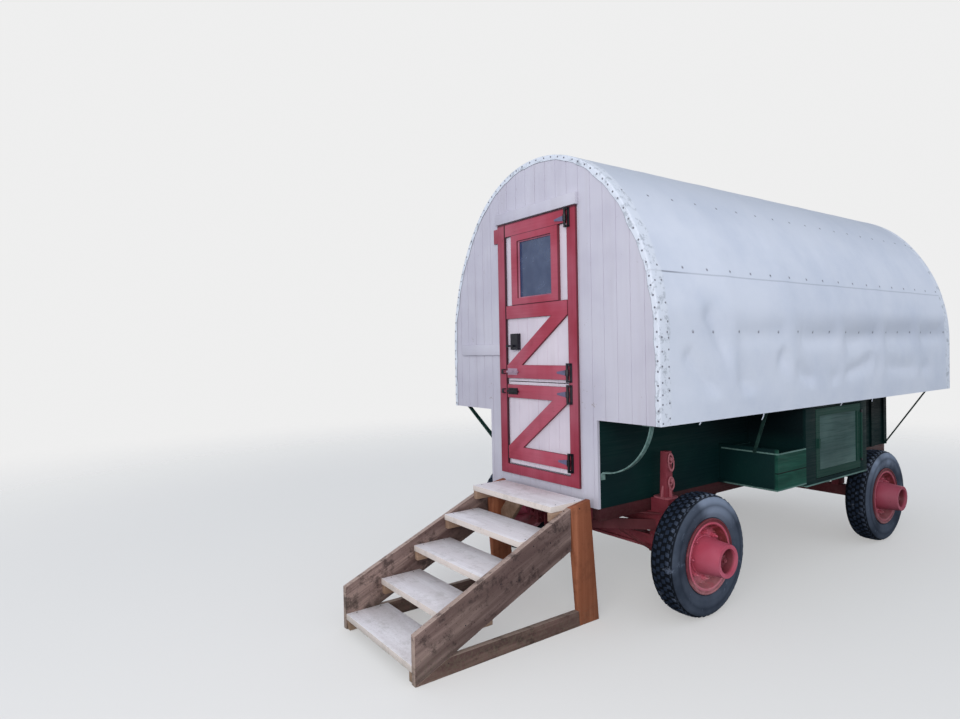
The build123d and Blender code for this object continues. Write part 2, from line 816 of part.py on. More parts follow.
with BuildPart() as overhang_irons:
    with BuildSketch(across(front_y + iron_back)):
        iron_x = box_half_width + iron_reach
        head_z = hem_z - iron / 2
        foot_x = box_half_width + iron / 2
        bend_z = hem_z - iron_bend_drop
        with BuildLine():
            Line((iron_x - iron_head, head_z), (iron_x, head_z))
            ThreePointArc(
                (iron_x, head_z),
                (box_half_width + iron_belly_reach, hem_z - iron_belly_drop),
                (foot_x + iron_foot_bend, bend_z),
            )
            Polyline(
                (foot_x + iron_foot_bend, bend_z),
                (foot_x + iron_hook, bend_z - iron / 4),
                (foot_x, bend_z - iron_hook),
                (foot_x, hem_z - iron_foot_drop),
            )
        trace(line_width=iron)
    extrude(amount=-iron_width)
    with BuildSketch(across(front_y + iron_back)):
        low_z = hem_z - straight_iron_drop
        high_x = box_half_width + straight_iron_reach
        with BuildLine():
            Polyline(
                (-box_half_width, low_z - straight_iron_half),
                (-box_half_width, low_z + straight_iron_half),
                (-high_x + straight_iron_half, hem_z),
                (-high_x - straight_iron_half, hem_z),
                close=True,
            )
        make_face()
    extrude(amount=-iron_width)
    add(rear_rod.part)
    add(mirror(rear_rod.part, about=Plane.YZ, mode=Mode.PRIVATE))
    with BuildSketch(across(front_y + tray_back)):
        strap_foot_z = box_bottom_z + tray_height + tray_front_rise - strap_foot_lap
        for side in (-1, 1):
            foot = side * (box_half_width + strap_foot_reach)
            head = side * (box_half_width + strap_head_reach)
            half = side * strap_width / 2
            with BuildLine():
                Polyline(
                    (foot - half, strap_foot_z),
                    (head - half, hem_z),
                    (head + half, hem_z),
                    (foot + half, strap_foot_z),
                    close=True,
                )
            make_face()
    extrude(amount=strap_thickness)
    for side in (-1, 1):
        hook_x = steps_center_x + side * hook_spacing / 2
        hook_top_z = top_tread_z - tread_thickness
        with BuildSketch(along(hook_x - hook_width / 2)):
            with BuildLine():
                Polyline(
                    (front_y, hook_top_z),
                    (front_y - hook_length, hook_top_z),
                    (front_y - hook_length, hook_top_z - strap_thickness),
                    (front_y - strap_thickness, hook_top_z - strap_thickness),
                    (front_y - strap_thickness, hook_top_z - hook_drop),
                    (front_y, hook_top_z - hook_drop),
                    close=True,
                )
            make_face()
        extrude(amount=hook_width)
overhang_irons.part.label = "overhang_irons"
export_step(overhang_irons.part, "parts/overhang_irons.step")

# Side boxes: an open tray and a cabinet with a framed door on each side

for box_name, side in (("right", 1), ("left", -1)):
    box_middle_x = side * (box_half_width + side_box_reach / 2)
    tray_front_y = front_y + tray_back
    tray_top_z = box_bottom_z + tray_height
    with BuildPart() as side_box:
        with Locations((box_middle_x, tray_front_y + tray_length / 2, box_bottom_z)):
            Box(side_box_reach, tray_length, tray_height, align=(Align.CENTER, Align.CENTER, Align.MIN))
        with Locations((box_middle_x, tray_front_y + side_box_board / 2, tray_top_z)):
            Box(
                side_box_reach,
                side_box_board,
                tray_front_rise,
                align=(Align.CENTER, Align.CENTER, Align.MIN),
            )
        with Locations((box_middle_x, tray_front_y, box_bottom_z)):
            Box(
                side_box_reach,
                tray_lip,
                tray_lip_height,
                align=(Align.CENTER, Align.MAX, Align.MIN),
            )
        cavity_length = tray_length - side_box_board
        cavity_z = box_bottom_z + side_box_board
        with Locations(
            (box_middle_x, tray_front_y + side_box_board + cavity_length / 2, cavity_z)
        ):
            Box(
                side_box_reach - 2 * side_box_board,
                cavity_length,
                tray_height,
                align=(Align.CENTER, Align.CENTER, Align.MIN),
                mode=Mode.SUBTRACT,
            )
        cabinet_middle_y = (cabinet_front_y + cabinet_rear_y) / 2
        cabinet_height = hem_z - cabinet_bottom_z
        with Locations((box_middle_x, cabinet_middle_y, cabinet_bottom_z + cabinet_height / 2)):
            Box(side_box_reach, cabinet_length, cabinet_height)
            Box(
                side_box_reach - 2 * side_box_board,
                cabinet_length - 2 * side_box_board,
                cabinet_height - 2 * side_box_board,
                mode=Mode.SUBTRACT,
            )
        door_opening = (
            cabinet_door_rear_y - cabinet_door_front_y,
            cabinet_door_top_z - cabinet_door_bottom_z,
        )
        face_x = side * (side_box_x - side_box_board / 2)
        with Locations((face_x, cabinet_door_middle_y, cabinet_door_middle_z)):
            Box(side_box_board, *door_opening, mode=Mode.SUBTRACT)
    side_box.part.label = f"side_box_{box_name}"
    export_step(side_box.part, f"parts/side_box_{box_name}.step")

    with BuildPart() as cabinet_door:
        leaf_width = door_opening[0] - 2 * cabinet_door_gap
        leaf_height = door_opening[1] - 2 * cabinet_door_gap
        with Locations((face_x, cabinet_door_middle_y, cabinet_door_middle_z)):
            Box(side_box_board, leaf_width, leaf_height)
        recess_x = side * (side_box_x - panel_recess / 2)
        with Locations((recess_x, cabinet_door_middle_y, cabinet_door_middle_z)):
            Box(
                panel_recess,
                leaf_width - 2 * panel_rail,
                leaf_height - 2 * panel_rail,
                mode=Mode.SUBTRACT,
            )
        button_y = cabinet_door_middle_y - leaf_width / 2 + panel_rail / 2
        with Locations((side * (side_box_x + button_depth / 2), button_y, cabinet_door_middle_z)):
            Box(button_depth, button_width, button_height)
        eye_height = box_hinge_height - 2 * hinge_tab_height - 2 * cabinet_door_gap
        with BuildSketch(Plane.XY.offset(cabinet_door_middle_z - eye_height / 2)):
            with Locations(
                (side * (side_box_x + box_hinge_leaf / 2), box_pivot_y - box_hinge_width / 2)
            ):
                Rectangle(box_hinge_leaf, box_hinge_width)
            with Locations((side * box_pivot_x, box_pivot_y)):
                RegularPolygon(box_hinge_eye_radius, 8, major_radius=False, rotation=22.5)
        extrude(amount=eye_height)
        with BuildSketch(Plane.XY.offset(cabinet_door_middle_z - eye_height / 2)):
            with Locations((side * box_pivot_x, box_pivot_y)):
                Circle(box_hinge_pin_radius + hinge_play)
        extrude(amount=eye_height, mode=Mode.SUBTRACT)
    cabinet_door.part.label = f"cabinet_door_{box_name}"
    export_step(cabinet_door.part, f"parts/cabinet_door_{box_name}.step")

# Chassis

with BuildPart() as sills:
    with Locations((0, box_middle_y, box_bottom_z - sill_depth / 2)):
        with GridLocations(2 * sill_outer_x - sill_width, 1, 2, 1):
            Box(sill_width, box_span_y, sill_depth)
sills.part.label = "sills"
export_step(sills.part, "parts/sills.step")

with BuildPart() as joists:
    joist_pitch = (box_span_y - joist_width) / (joist_count - 1)
    with Locations((0, box_middle_y, box_bottom_z - sill_depth / 2)):
        with GridLocations(1, joist_pitch, 1, joist_count):
            Box(2 * (sill_outer_x - sill_width), joist_width, sill_depth)
joists.part.label = "joists"
export_step(joists.part, "parts/joists.step")

stake_inner_x = box_half_width + stake_clearance
stake_outer_x = stake_inner_x + stake_thickness
stake_top_z = beam_bottom_z + stake_rise
block_inner_x = box_half_width + stake_foot

for axle_name, axle_y in (("front", front_axle_y), ("rear", rear_axle_y)):
    with BuildPart() as bolster:
        with BuildSketch(across(axle_y - bolster_width / 2)):
            with Locations((0, bolster_bottom_z + bolster_depth / 2)):
                Rectangle(2 * bolster_half_length, bolster_depth)
            for side in (-1, 1):
                block_x = side * (block_inner_x + bolster_half_length) / 2
                with Locations((block_x, beam_bottom_z + bolster_depth / 2)):
                    Rectangle(bolster_half_length - block_inner_x, bolster_depth)
        extrude(amount=-bolster_width)
        for side in (-1, 1):
            with BuildSketch(along(side * stake_inner_x)):
                with BuildLine():
                    Polyline(
                        (axle_y - stake_width / 2, beam_bottom_z),
                        (axle_y - stake_width / 2, beam_bottom_z + bolster_depth),
                        (axle_y - stake_top_width / 2, stake_top_z),
                        (axle_y + stake_top_width / 2, stake_top_z),
                        (axle_y + stake_width / 2, beam_bottom_z + bolster_depth),
                        (axle_y + stake_width / 2, beam_bottom_z),
                        close=True,
                    )
                make_face()
            extrude(amount=side * stake_thickness)
            riser_x = side * (box_half_width + riser_outset - riser_thickness / 2)
            with Locations((riser_x, axle_y, (axle_top_z + bolster_bottom_z) / 2)):
                Box(
                    riser_thickness,
                    bolster_width - riser_inset,
                    bolster_bottom_z - axle_top_z,
                )
    bolster.part.label = f"{axle_name}_bolster"
    export_step(bolster.part, f"parts/{axle_name}_bolster.step")

with BuildPart() as stake_rings:
    ring_hang = (ring_radius - ring_wire / 2) * cos(radians(22.5))
    for side in (-1, 1):
        for axle_y in (front_axle_y, rear_axle_y):
            for pin_z in (stake_top_z - upper_ring_drop, stake_top_z - lower_ring_drop):
                with BuildSketch(along(side * stake_outer_x)):
                    with Locations((axle_y, pin_z)):
                        Rectangle(ring_pin_size, ring_pin_size)
                extrude(amount=side * ring_pin_length)
                with BuildSketch(along(side * (stake_outer_x + ring_pin_length))):
                    with Locations((axle_y, pin_z)):
                        Rectangle(ring_head_size, ring_head_size)
                extrude(amount=side * ring_head_thickness)
                ring_x = stake_outer_x + (ring_pin_length - ring_wire) / 2
                with BuildSketch(along(side * ring_x)):
                    with Locations((axle_y, pin_z + ring_pin_size / 2 - ring_hang)):
                        RegularPolygon(ring_radius + ring_wire / 2, 8, rotation=22.5)
                        RegularPolygon(
                            ring_radius - ring_wire / 2,
                            8,
                            rotation=22.5,
                            mode=Mode.SUBTRACT,
                        )
                extrude(amount=side * ring_wire)
stake_rings.part.label = "stake_rings"
export_step(stake_rings.part, "parts/stake_rings.step")

with BuildPart() as reach:
    reach_front_y = front_axle_y + bolster_width / 2
    reach_rear_y = rear_axle_y - bolster_width / 2
    reach_z = bolster_bottom_z + (bolster_depth - reach_size) / 2
    with BuildSketch(Plane.XY.offset(reach_z)):
        with Locations((0, (reach_front_y + reach_rear_y) / 2)):
            Rectangle(reach_size, reach_rear_y - reach_front_y)
        for side in (-1, 1):
            fork_y = reach_rear_y - rear_hound_length
            fork_x = side * reach_size / 2
            with BuildLine():
                Polyline(
                    (fork_x, fork_y),
                    (side * rear_hound_reach, reach_rear_y),
                    (side * (rear_hound_reach + rear_hound_width), reach_rear_y),
                    (fork_x, fork_y - 2 * rear_hound_width),
                    close=True,
                )
            make_face()
    extrude(amount=reach_size)
reach.part.label = "reach"
export_step(reach.part, "parts/reach.step")

# Axles

spindle_end_x = hub_web_x + thread_length


def spindle(side, axle_y):
    """Stub that carries a wheel, with its end nut, on one side of the wagon."""
    with BuildPart() as stub:
        with BuildSketch(along(side * spindle_root_x)):
            with Locations((axle_y, axle_z)):
                Circle(spindle_radius)
        extrude(amount=side * (hub_web_x + nut_gap - spindle_root_x))
        with BuildSketch(along(side * (hub_web_x + nut_gap))):
            with Locations((axle_y, axle_z)):
                RegularPolygon(nut_radius, 6)
        extrude(amount=side * nut_thickness)
        with BuildSketch(along(side * (hub_web_x + nut_gap))):
            with Locations((axle_y, axle_z)):
                Circle(thread_radius)
        extrude(amount=side * (spindle_end_x - hub_web_x - nut_gap))
    return stub.part


with BuildPart() as front_axle:
    beam_end_x = kingpin_x - boss_radius - pin_play
    with BuildSketch(along(-beam_end_x)):
        with Locations((front_axle_y, axle_z)):
            Rectangle(axle_width, axle_height)
            with GridLocations(axle_width, 1, 2, 1):
                Rectangle(
                    axle_width - axle_web,
                    axle_height - 2 * axle_flange,
                    mode=Mode.SUBTRACT,
                )
    extrude(amount=2 * beam_end_x)
    for side in (-1, 1):
        with BuildSketch(Plane.XY.offset(axle_z - boss_height / 2)):
            with Locations((side * kingpin_x, front_axle_y)):
                Circle(boss_radius)
            with Locations((side * (kingpin_x - boss_radius), front_axle_y)):
                Rectangle(boss_radius, 1.3 * boss_radius)
        extrude(amount=boss_height)
        with BuildSketch(Plane.XY.offset(axle_z - boss_height / 2)):
            with Locations((side * kingpin_x, front_axle_y)):
                Circle(kingpin_radius + pin_play)
        extrude(amount=boss_height, mode=Mode.SUBTRACT)
front_axle.part.label = "front_axle"
export_step(front_axle.part, "parts/front_axle.step")

with BuildPart() as rear_axle:
    with Locations((0, rear_axle_y, axle_z)):
        Box(2 * spindle_root_x, axle_width, axle_height)
    for side in (-1, 1):
        add(spindle(side, rear_axle_y))
rear_axle.part.label = "rear_axle"
export_step(rear_axle.part, "parts/rear_axle.step")

lower_ear_z = axle_z - boss_height / 2 - ear_gap - ear_thickness
upper_ear_z = axle_z + boss_height / 2 + ear_gap
knuckle_top_z = upper_ear_z + ear_thickness
tie_y = front_axle_y + steer_arm

for knuckle_name, side in (("right", 1), ("left", -1)):
    with BuildPart() as knuckle:
        ear_length = spindle_root_x - kingpin_x
        for ear_z in (lower_ear_z, upper_ear_z):
            with BuildSketch(Plane.XY.offset(ear_z)):
                with Locations((side * kingpin_x, front_axle_y)):
                    Circle(boss_radius)
                with Locations((side * (kingpin_x + ear_length / 2), front_axle_y)):
                    Rectangle(ear_length, 2 * boss_radius)
            extrude(amount=ear_thickness)
        with BuildSketch(Plane.XY.offset(lower_ear_z)):
            yoke_x = side * (spindle_root_x - yoke_thickness / 2)
            with Locations((yoke_x, front_axle_y)):
                Rectangle(yoke_thickness, 2 * boss_radius)
        extrude(amount=knuckle_top_z - lower_ear_z)
        with BuildSketch(Plane.XY.offset(lower_ear_z)):
            with Locations((side * kingpin_x, front_axle_y)):
                Circle(kingpin_radius)
        extrude(amount=knuckle_top_z - lower_ear_z)
        with BuildSketch(Plane.XY.offset(lower_ear_z)):
            with Locations((side * kingpin_x, front_axle_y + steer_arm / 2)):
                Rectangle(arm_width, steer_arm)
            with Locations((side * kingpin_x, tie_y)):
                Circle(arm_width / 2)
        extrude(amount=arm_thickness)
        with BuildSketch(Plane.XY.offset(lower_ear_z + arm_thickness)):
            with Locations((side * kingpin_x, tie_y)):
                Circle(tie_pin_radius)
        extrude(amount=tie_pin_length)
        add(spindle(side, front_axle_y))
    knuckle.part.label = f"knuckle_{knuckle_name}"
    export_step(knuckle.part, f"parts/knuckle_{knuckle_name}.step")

with BuildPart() as tie_rod:
    tie_eye_z = lower_ear_z + arm_thickness + hinge_standoff
    tie_eye_height = 2 * tie_rod_radius
    with BuildSketch(along(-kingpin_x)):
        with Locations((tie_y, tie_eye_z + tie_rod_radius)):
            RegularPolygon(tie_rod_radius, 8, major_radius=False, rotation=22.5)
    extrude(amount=2 * kingpin_x)
    for side, play in ((-1, pin_play), (1, tie_open_play)):
        with BuildSketch(Plane.XY.offset(tie_eye_z)):
            with Locations((side * kingpin_x, tie_y)):
                Circle(tie_eye_radius)
        extrude(amount=tie_eye_height)
        with BuildSketch(Plane.XY.offset(tie_eye_z)):
            with Locations((side * kingpin_x, tie_y)):
                Circle(tie_pin_radius + play)
        extrude(amount=tie_eye_height, mode=Mode.SUBTRACT)
tie_rod.part.label = "tie_rod"
export_step(tie_rod.part, "parts/tie_rod.step")

# Front hounds: diagonal bars to the tongue head, a hoop and a stay on each

hound_bottom_z = bolster_bottom_z - hound_drop
hound_top_z = hound_bottom_z + hound_height
hound_rear_y = front_axle_y - bolster_width / 2
head_y = front_y + head_back
hoop_start = Vector(hoop_start_x, front_y + hoop_start_back, 0)
hoop_run = Vector(hoop_end_x, hound_rear_y, 0) - hoop_start
stay_start = Vector(hoop_start_x, front_y + hoop_start_back, stay_start_z)
stay_foot_z = axle_z - axle_height / 2 - stay_foot_plate / 2
stay_run = Vector(stay_foot_x, front_y + stay_foot_back, stay_foot_z) - stay_start

with BuildPart() as hoop_and_stay:
    hoop_plane = Plane(
        origin=hoop_start, x_dir=hoop_run, z_dir=hoop_run.cross(Vector(0, 0, 1))
    )
    with BuildSketch(hoop_plane):
        with BuildLine():
            Polyline(
                (0, hound_top_z - hoop_strap),
                (0, beam_bottom_z),
                (2 * hoop_run.length, beam_bottom_z),
                (2 * hoop_run.length, beam_bottom_z - hoop_strap),
                (hoop_strap, beam_bottom_z - hoop_strap),
                (hoop_strap, hound_top_z - hoop_strap),
                close=True,
            )
        make_face()
    extrude(amount=hoop_width / 2, both=True)
    split(bisect_by=across(hound_rear_y), keep=Keep.TOP)
    with BuildSketch(Plane(origin=stay_start, z_dir=stay_run)):
        Rectangle(stay_size, stay_size)
    extrude(amount=stay_run.length)
    foot_plate_y = front_y + (stay_foot_back + stay_foot_rear_back) / 2
    with Locations((stay_foot_x, foot_plate_y, stay_foot_z)):
        Box(stay_foot_width, stay_foot_rear_back - stay_foot_back + stay_size, stay_foot_plate)

with BuildPart() as front_hounds:
    with BuildSketch(Plane.XY.offset(hound_bottom_z)):
        for side in (-1, 1):
            with BuildLine():
                Polyline(
                    (side * (head_half_width - 2 * hound_bar), head_y),
                    (side * hound_reach, hound_rear_y),
                    (side * (hound_reach + 1.5 * hound_bar), hound_rear_y),
                    (side * head_half_width, head_y),
                    close=True,
                )
            make_face()
            eye_front_y = front_y + eye_back - eye_margin
            eye_x = side * (eye_half_span - eye_thickness / 2)
            with Locations((eye_x, (eye_front_y + head_y + head_plate) / 2)):
                Rectangle(eye_thickness, head_y + head_plate - eye_front_y)
        with Locations((0, head_y + head_plate / 2)):
            Rectangle(2 * head_half_width, head_plate)
    extrude(amount=hound_height)
    add(hoop_and_stay.part)
    add(mirror(hoop_and_stay.part, about=Plane.YZ, mode=Mode.PRIVATE))
    with BuildSketch(along(-eye_half_span)):
        with Locations((front_y + eye_back, hound_bottom_z + hound_height / 2)):
            Circle(eye_bore_radius)
    extrude(amount=2 * eye_half_span, mode=Mode.SUBTRACT)
front_hounds.part.label = "front_hounds"
export_step(front_hounds.part, "parts/front_hounds.step")

# Wheels: name, side and the axle that carries each

corners = (
    ("front_right", 1, front_axle_y),
    ("front_left", -1, front_axle_y),
    ("rear_right", 1, rear_axle_y),
    ("rear_left", -1, rear_axle_y),
)
rim_inner_x = rim_outer_x - rim_width
rim_inner_radius = rim_seat_radius - rim_wall
bore_radius = spindle_radius + pin_play
disc_rear_x = disc_x - disc_thickness

for corner, side, axle_y in corners:
    with BuildPart() as wheel:
        # rim, disc and hub in one section, as places along X and radii
        with BuildSketch(Plane.XY.offset(axle_z)):
            section = (
                (hub_tail_x, bore_radius),
                (hub_tail_x, hub_tail_radius),
                (disc_rear_x, hub_base_radius),
                (disc_rear_x, rim_inner_radius),
                (rim_inner_x, rim_inner_radius),
                (rim_inner_x, rim_flange_radius),
                (rim_inner_x + rim_wall, rim_seat_radius),
                (rim_outer_x - rim_wall, rim_seat_radius),
                (rim_outer_x - rim_wall, rim_flange_radius),
                (rim_outer_x, rim_flange_radius),
                (rim_outer_x, rim_inner_radius),
                (disc_x, rim_inner_radius - 2 * rim_wall),
                (disc_x, hub_base_radius),
                (hub_end_x, hub_end_radius),
                (hub_end_x, hub_mouth_radius),
                (hub_web_x, hub_web_radius),
                (hub_web_x, bore_radius),
            )
            with BuildLine():
                Polyline([(side * x, axle_y + r) for x, r in section], close=True)
            make_face()
        revolve(axis=Axis((0, axle_y, axle_z), (1, 0, 0)))
        with BuildSketch(along(side * disc_x)):
            with Locations((axle_y, axle_z)):
                with PolarLocations(wheel_nut_ring_radius, wheel_nut_count):
                    RegularPolygon(wheel_nut_radius, 6)
        extrude(amount=side * wheel_nut_length)
    wheel.part.label = f"wheel_{corner}"
    export_step(wheel.part, f"parts/wheel_{corner}.step")

    with BuildPart() as tyre:
        bead = rim_width / 2 - rim_wall - soft_gap
        bead_radius = rim_seat_radius + soft_gap
        # half of the tyre's section, as distances from its middle and radii
        flank = (
            (bead, bead_radius),
            (bead, rim_flange_radius + tyre_bead_rise),
            (tyre_half_section, tyre_wide_radius),
            (tyre_half_tread, tyre_radius),
        )
        profile = [(x, r) for x, r in flank] + [(-x, r) for x, r in reversed(flank)]
        with BuildSketch(Plane.XY.offset(axle_z)):
            with BuildLine():
                Polyline(
                    [(side * (tyre_mid_x + x), axle_y + r) for x, r in profile],
                    close=True,
                )
            make_face()
        revolve(axis=Axis((0, axle_y, axle_z), (1, 0, 0)))
    tyre.part.label = f"tyre_{corner}"
    export_step(tyre.part, f"parts/tyre_{corner}.step")

# Entrance steps

steps_front_y = front_y - steps_reach
post_top_rear_y = front_y - post_back_gap
post_top_front_y = post_top_rear_y - post_width
post_foot_rear_y = post_top_rear_y + post_lean
post_foot_front_y = post_top_front_y + post_lean
toe_y = steps_front_y + stringer_toe
rail_toe_y = steps_front_y + (rail_height + stringer_drop - stringer_nose) / stringer_slope


def stringer_top(y):
    """Height of the stringers' upper edge at y."""
    return stringer_nose + (y - steps_front_y) * stringer_slope


post_top_z = stringer_top(post_top_front_y)

with BuildPart() as step_stringers:
    for side in (-1, 1):
        with BuildSketch(along(steps_center_x + side * tread_half_length)):
            with BuildLine():
                Polyline(
                    (steps_front_y, 0),
                    (steps_front_y, stringer_nose),
                    (post_top_front_y, post_top_z),
                    (post_top_front_y, post_top_z - stringer_drop),
                    (toe_y, stringer_top(toe_y) - stringer_drop),
                    (toe_y, 0),
                    close=True,
                )
            make_face()
        extrude(amount=side * lumber)
step_stringers.part.label = "step_stringers"
export_step(step_stringers.part, "parts/step_stringers.step")

with BuildPart() as step_rails:
    for side in (-1, 1):
        post_shift = post_lean * rail_height / post_top_z
        with BuildSketch(along(steps_center_x + side * tread_half_length)):
            with BuildLine():
                Polyline(
                    (toe_y, 0),
                    (toe_y, stringer_top(toe_y) - stringer_drop),
                    (rail_toe_y, rail_height),
                    (post_foot_front_y - post_shift, rail_height),
                    (post_foot_front_y, 0),
                    close=True,
                )
            make_face()
        extrude(amount=side * lumber)
step_rails.part.label = "step_rails"
export_step(step_rails.part, "parts/step_rails.step")

with BuildPart() as step_posts:
    for side in (-1, 1):
        with BuildSketch(along(steps_center_x + side * tread_half_length)):
            with BuildLine():
                Polyline(
                    (post_top_front_y, post_top_z),
                    (post_top_rear_y, post_top_z + post_top_rise),
                    (post_foot_rear_y, 0),
                    (post_foot_front_y, 0),
                    close=True,
                )
            make_face()
        extrude(amount=side * lumber)
step_posts.part.label = "step_posts"
export_step(step_posts.part, "parts/step_posts.step")

with BuildPart() as step_treads:
    for number in range(tread_count):
        tread_y = steps_front_y + number * tread_run + tread_depth / 2
        tread_z = first_tread_z + number * tread_rise - tread_thickness / 2
        with Locations((steps_center_x, tread_y, tread_z)):
            Box(2 * tread_half_length, tread_depth, tread_thickness)
step_treads.part.label = "step_treads"
export_step(step_treads.part, "parts/step_treads.step")

with BuildPart() as step_cleats:
    for number in range(tread_count):
        tread_y = steps_front_y + number * tread_run + tread_depth / 2
        cleat_z = first_tread_z + number * tread_rise - tread_thickness - step_cleat_height / 2
        with Locations((steps_center_x, tread_y, cleat_z)):
            with GridLocations(2 * tread_half_length - lumber, 1, 2, 1):
                Box(lumber, tread_depth - 2 * step_cleat_inset, step_cleat_height)
    # short knee board from the left post up to the top tread
    with BuildSketch(across(front_y - knee_back_gap)):
        post_face_x = steps_center_x - tread_half_length
        knee_top_z = top_tread_z - tread_thickness
        knee_left_z = knee_top_z - (knee_high_x - post_face_x) * knee_slope
        knee_low_x = knee_high_x + knee_width_x - (knee_top_z - knee_low_z) / knee_slope
        with BuildLine():
            Polyline(
                (post_face_x, knee_low_z),
                (post_face_x, knee_left_z),
                (knee_high_x, knee_top_z),
                (knee_high_x + knee_width_x, knee_top_z),
                (knee_low_x, knee_low_z),
                close=True,
            )
        make_face()
    extrude(amount=-lumber)
step_cleats.part.label = "step_cleats"
export_step(step_cleats.part, "parts/step_cleats.step")
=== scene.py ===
# %% [markdown]
# # Dressing a sheep wagon
# This lesson takes a finished CAD model of a canvas-topped sheep wagon and gives it its
# looks. The CAD parts keep their place. Some only get a material, some get a copy with
# rounded edges, and the cloth top and the tyres are modelled again, because cloth and
# moulded rubber need shapes that a CAD solid leaves out.

import json
import math
import random

import bmesh
import bpy
from mathutils import Matrix, Vector, noise

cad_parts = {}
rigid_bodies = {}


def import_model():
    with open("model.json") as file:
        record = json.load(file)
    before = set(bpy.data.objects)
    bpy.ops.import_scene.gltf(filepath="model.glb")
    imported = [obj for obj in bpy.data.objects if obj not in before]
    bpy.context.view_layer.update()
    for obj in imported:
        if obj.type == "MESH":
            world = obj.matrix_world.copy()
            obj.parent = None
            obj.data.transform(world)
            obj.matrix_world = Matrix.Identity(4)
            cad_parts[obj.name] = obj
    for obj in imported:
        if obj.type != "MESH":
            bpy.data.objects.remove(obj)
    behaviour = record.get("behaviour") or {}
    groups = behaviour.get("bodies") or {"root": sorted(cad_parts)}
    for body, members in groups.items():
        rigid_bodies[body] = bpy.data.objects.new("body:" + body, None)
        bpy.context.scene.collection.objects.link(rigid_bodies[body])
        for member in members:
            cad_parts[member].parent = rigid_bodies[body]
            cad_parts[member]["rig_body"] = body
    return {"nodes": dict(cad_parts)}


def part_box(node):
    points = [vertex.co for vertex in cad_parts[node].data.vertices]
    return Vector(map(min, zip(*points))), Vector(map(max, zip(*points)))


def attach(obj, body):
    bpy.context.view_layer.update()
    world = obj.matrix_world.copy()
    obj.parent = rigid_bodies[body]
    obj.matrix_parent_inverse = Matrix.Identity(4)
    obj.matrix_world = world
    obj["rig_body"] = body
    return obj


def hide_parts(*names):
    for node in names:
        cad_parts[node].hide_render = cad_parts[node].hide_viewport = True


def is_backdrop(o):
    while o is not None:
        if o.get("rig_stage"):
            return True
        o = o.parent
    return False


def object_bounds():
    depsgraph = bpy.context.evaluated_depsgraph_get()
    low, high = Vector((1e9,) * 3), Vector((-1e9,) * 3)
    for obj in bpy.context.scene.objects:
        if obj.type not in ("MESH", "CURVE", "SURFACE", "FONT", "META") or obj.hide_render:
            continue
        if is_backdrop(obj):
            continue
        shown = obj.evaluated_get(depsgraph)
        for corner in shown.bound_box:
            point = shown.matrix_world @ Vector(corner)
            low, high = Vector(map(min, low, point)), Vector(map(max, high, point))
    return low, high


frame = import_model()
cad_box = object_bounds()
nodes = frame["nodes"]
print("nodes", len(nodes), "box", [[round(v, 3) for v in corner] for corner in cad_box])

# %% [markdown]
# ## Working by hand, from code
# Every new piece starts as a primitive and is shaped with the same operators that a
# modeller clicks. An operator acts on whatever is selected, so each helper below first
# deselects everything, then selects what it needs by place or by normal.

# %% Helpers for selecting, editing and applying
def deselect():
    """Leaves no object selected."""
    for item in bpy.context.selected_objects:
        item.select_set(False)


def activate(piece):
    """Makes one object the selected and active one."""
    deselect()
    piece.select_set(True)
    bpy.context.view_layer.objects.active = piece


def add_primitive(kind, name, at=(0, 0, 0), stretch=(1, 1, 1), turn=(0, 0, 0), **settings):
    """Adds a primitive, stretched and turned at its place; its object ends at the origin."""
    deselect()
    getattr(bpy.ops.mesh, f"primitive_{kind}_add")(location=at, rotation=turn, **settings)
    piece = bpy.context.object
    piece.name = piece.data.name = name
    piece.scale = stretch
    bpy.ops.object.transform_apply(location=True, rotation=True, scale=True)
    return piece


def open_edit(piece, kind, test=lambda item: True):
    """Opens a piece in edit mode with the faces, edges or vertices that pass the test."""
    activate(piece)
    bpy.ops.object.mode_set(mode="EDIT")
    bpy.ops.mesh.select_mode(type=kind)
    bpy.ops.mesh.select_all(action="DESELECT")
    mesh = bmesh.from_edit_mesh(piece.data)
    items = {"FACE": mesh.faces, "EDGE": mesh.edges, "VERT": mesh.verts}[kind]
    for item in items:
        if test(item):
            item.select_set(True)
    mesh.select_flush_mode()
    bmesh.update_edit_mesh(piece.data)


def close_edit():
    """Goes back to object mode."""
    bpy.ops.object.mode_set(mode="OBJECT")


def push(piece, offset, test):
    """Moves the vertices that pass the test."""
    open_edit(piece, "VERT", test)
    bpy.ops.transform.translate(value=offset)
    close_edit()


def modify(piece, kind, **settings):
    """Adds a modifier and applies it."""
    activate(piece)
    added = piece.modifiers.new(kind.title(), kind)
    for name, value in settings.items():
        setattr(added, name, value)
    bpy.ops.object.modifier_apply(modifier=added.name)


def bevel(piece, width, segments=1, degrees=30):
    """Rounds every edge where faces meet at more than the angle."""
    limit = {"limit_method": "ANGLE", "angle_limit": math.radians(degrees)}
    modify(piece, "BEVEL", width=width, segments=segments, **limit)


def face_outwards(piece):
    """Welds doubles and makes every normal point out."""
    open_edit(piece, "FACE")
    bpy.ops.mesh.remove_doubles(threshold=0.00001)
    bpy.ops.mesh.select_all(action="SELECT")
    bpy.ops.mesh.normals_make_consistent(inside=False)
    close_edit()


def smooth(piece, degrees=35):
    """Shades smooth, with a crease where faces meet at more than the angle."""
    activate(piece)
    bpy.ops.object.shade_smooth_by_angle(angle=math.radians(degrees))


def copy_to(piece, name, matrix):
    """A copy with its own mesh, moved by a matrix."""
    twin = bpy.data.objects.new(name, piece.data.copy())
    bpy.context.scene.collection.objects.link(twin)
    twin.data.transform(matrix)
    if matrix.determinant() < 0:
        twin.data.flip_normals()
    return twin


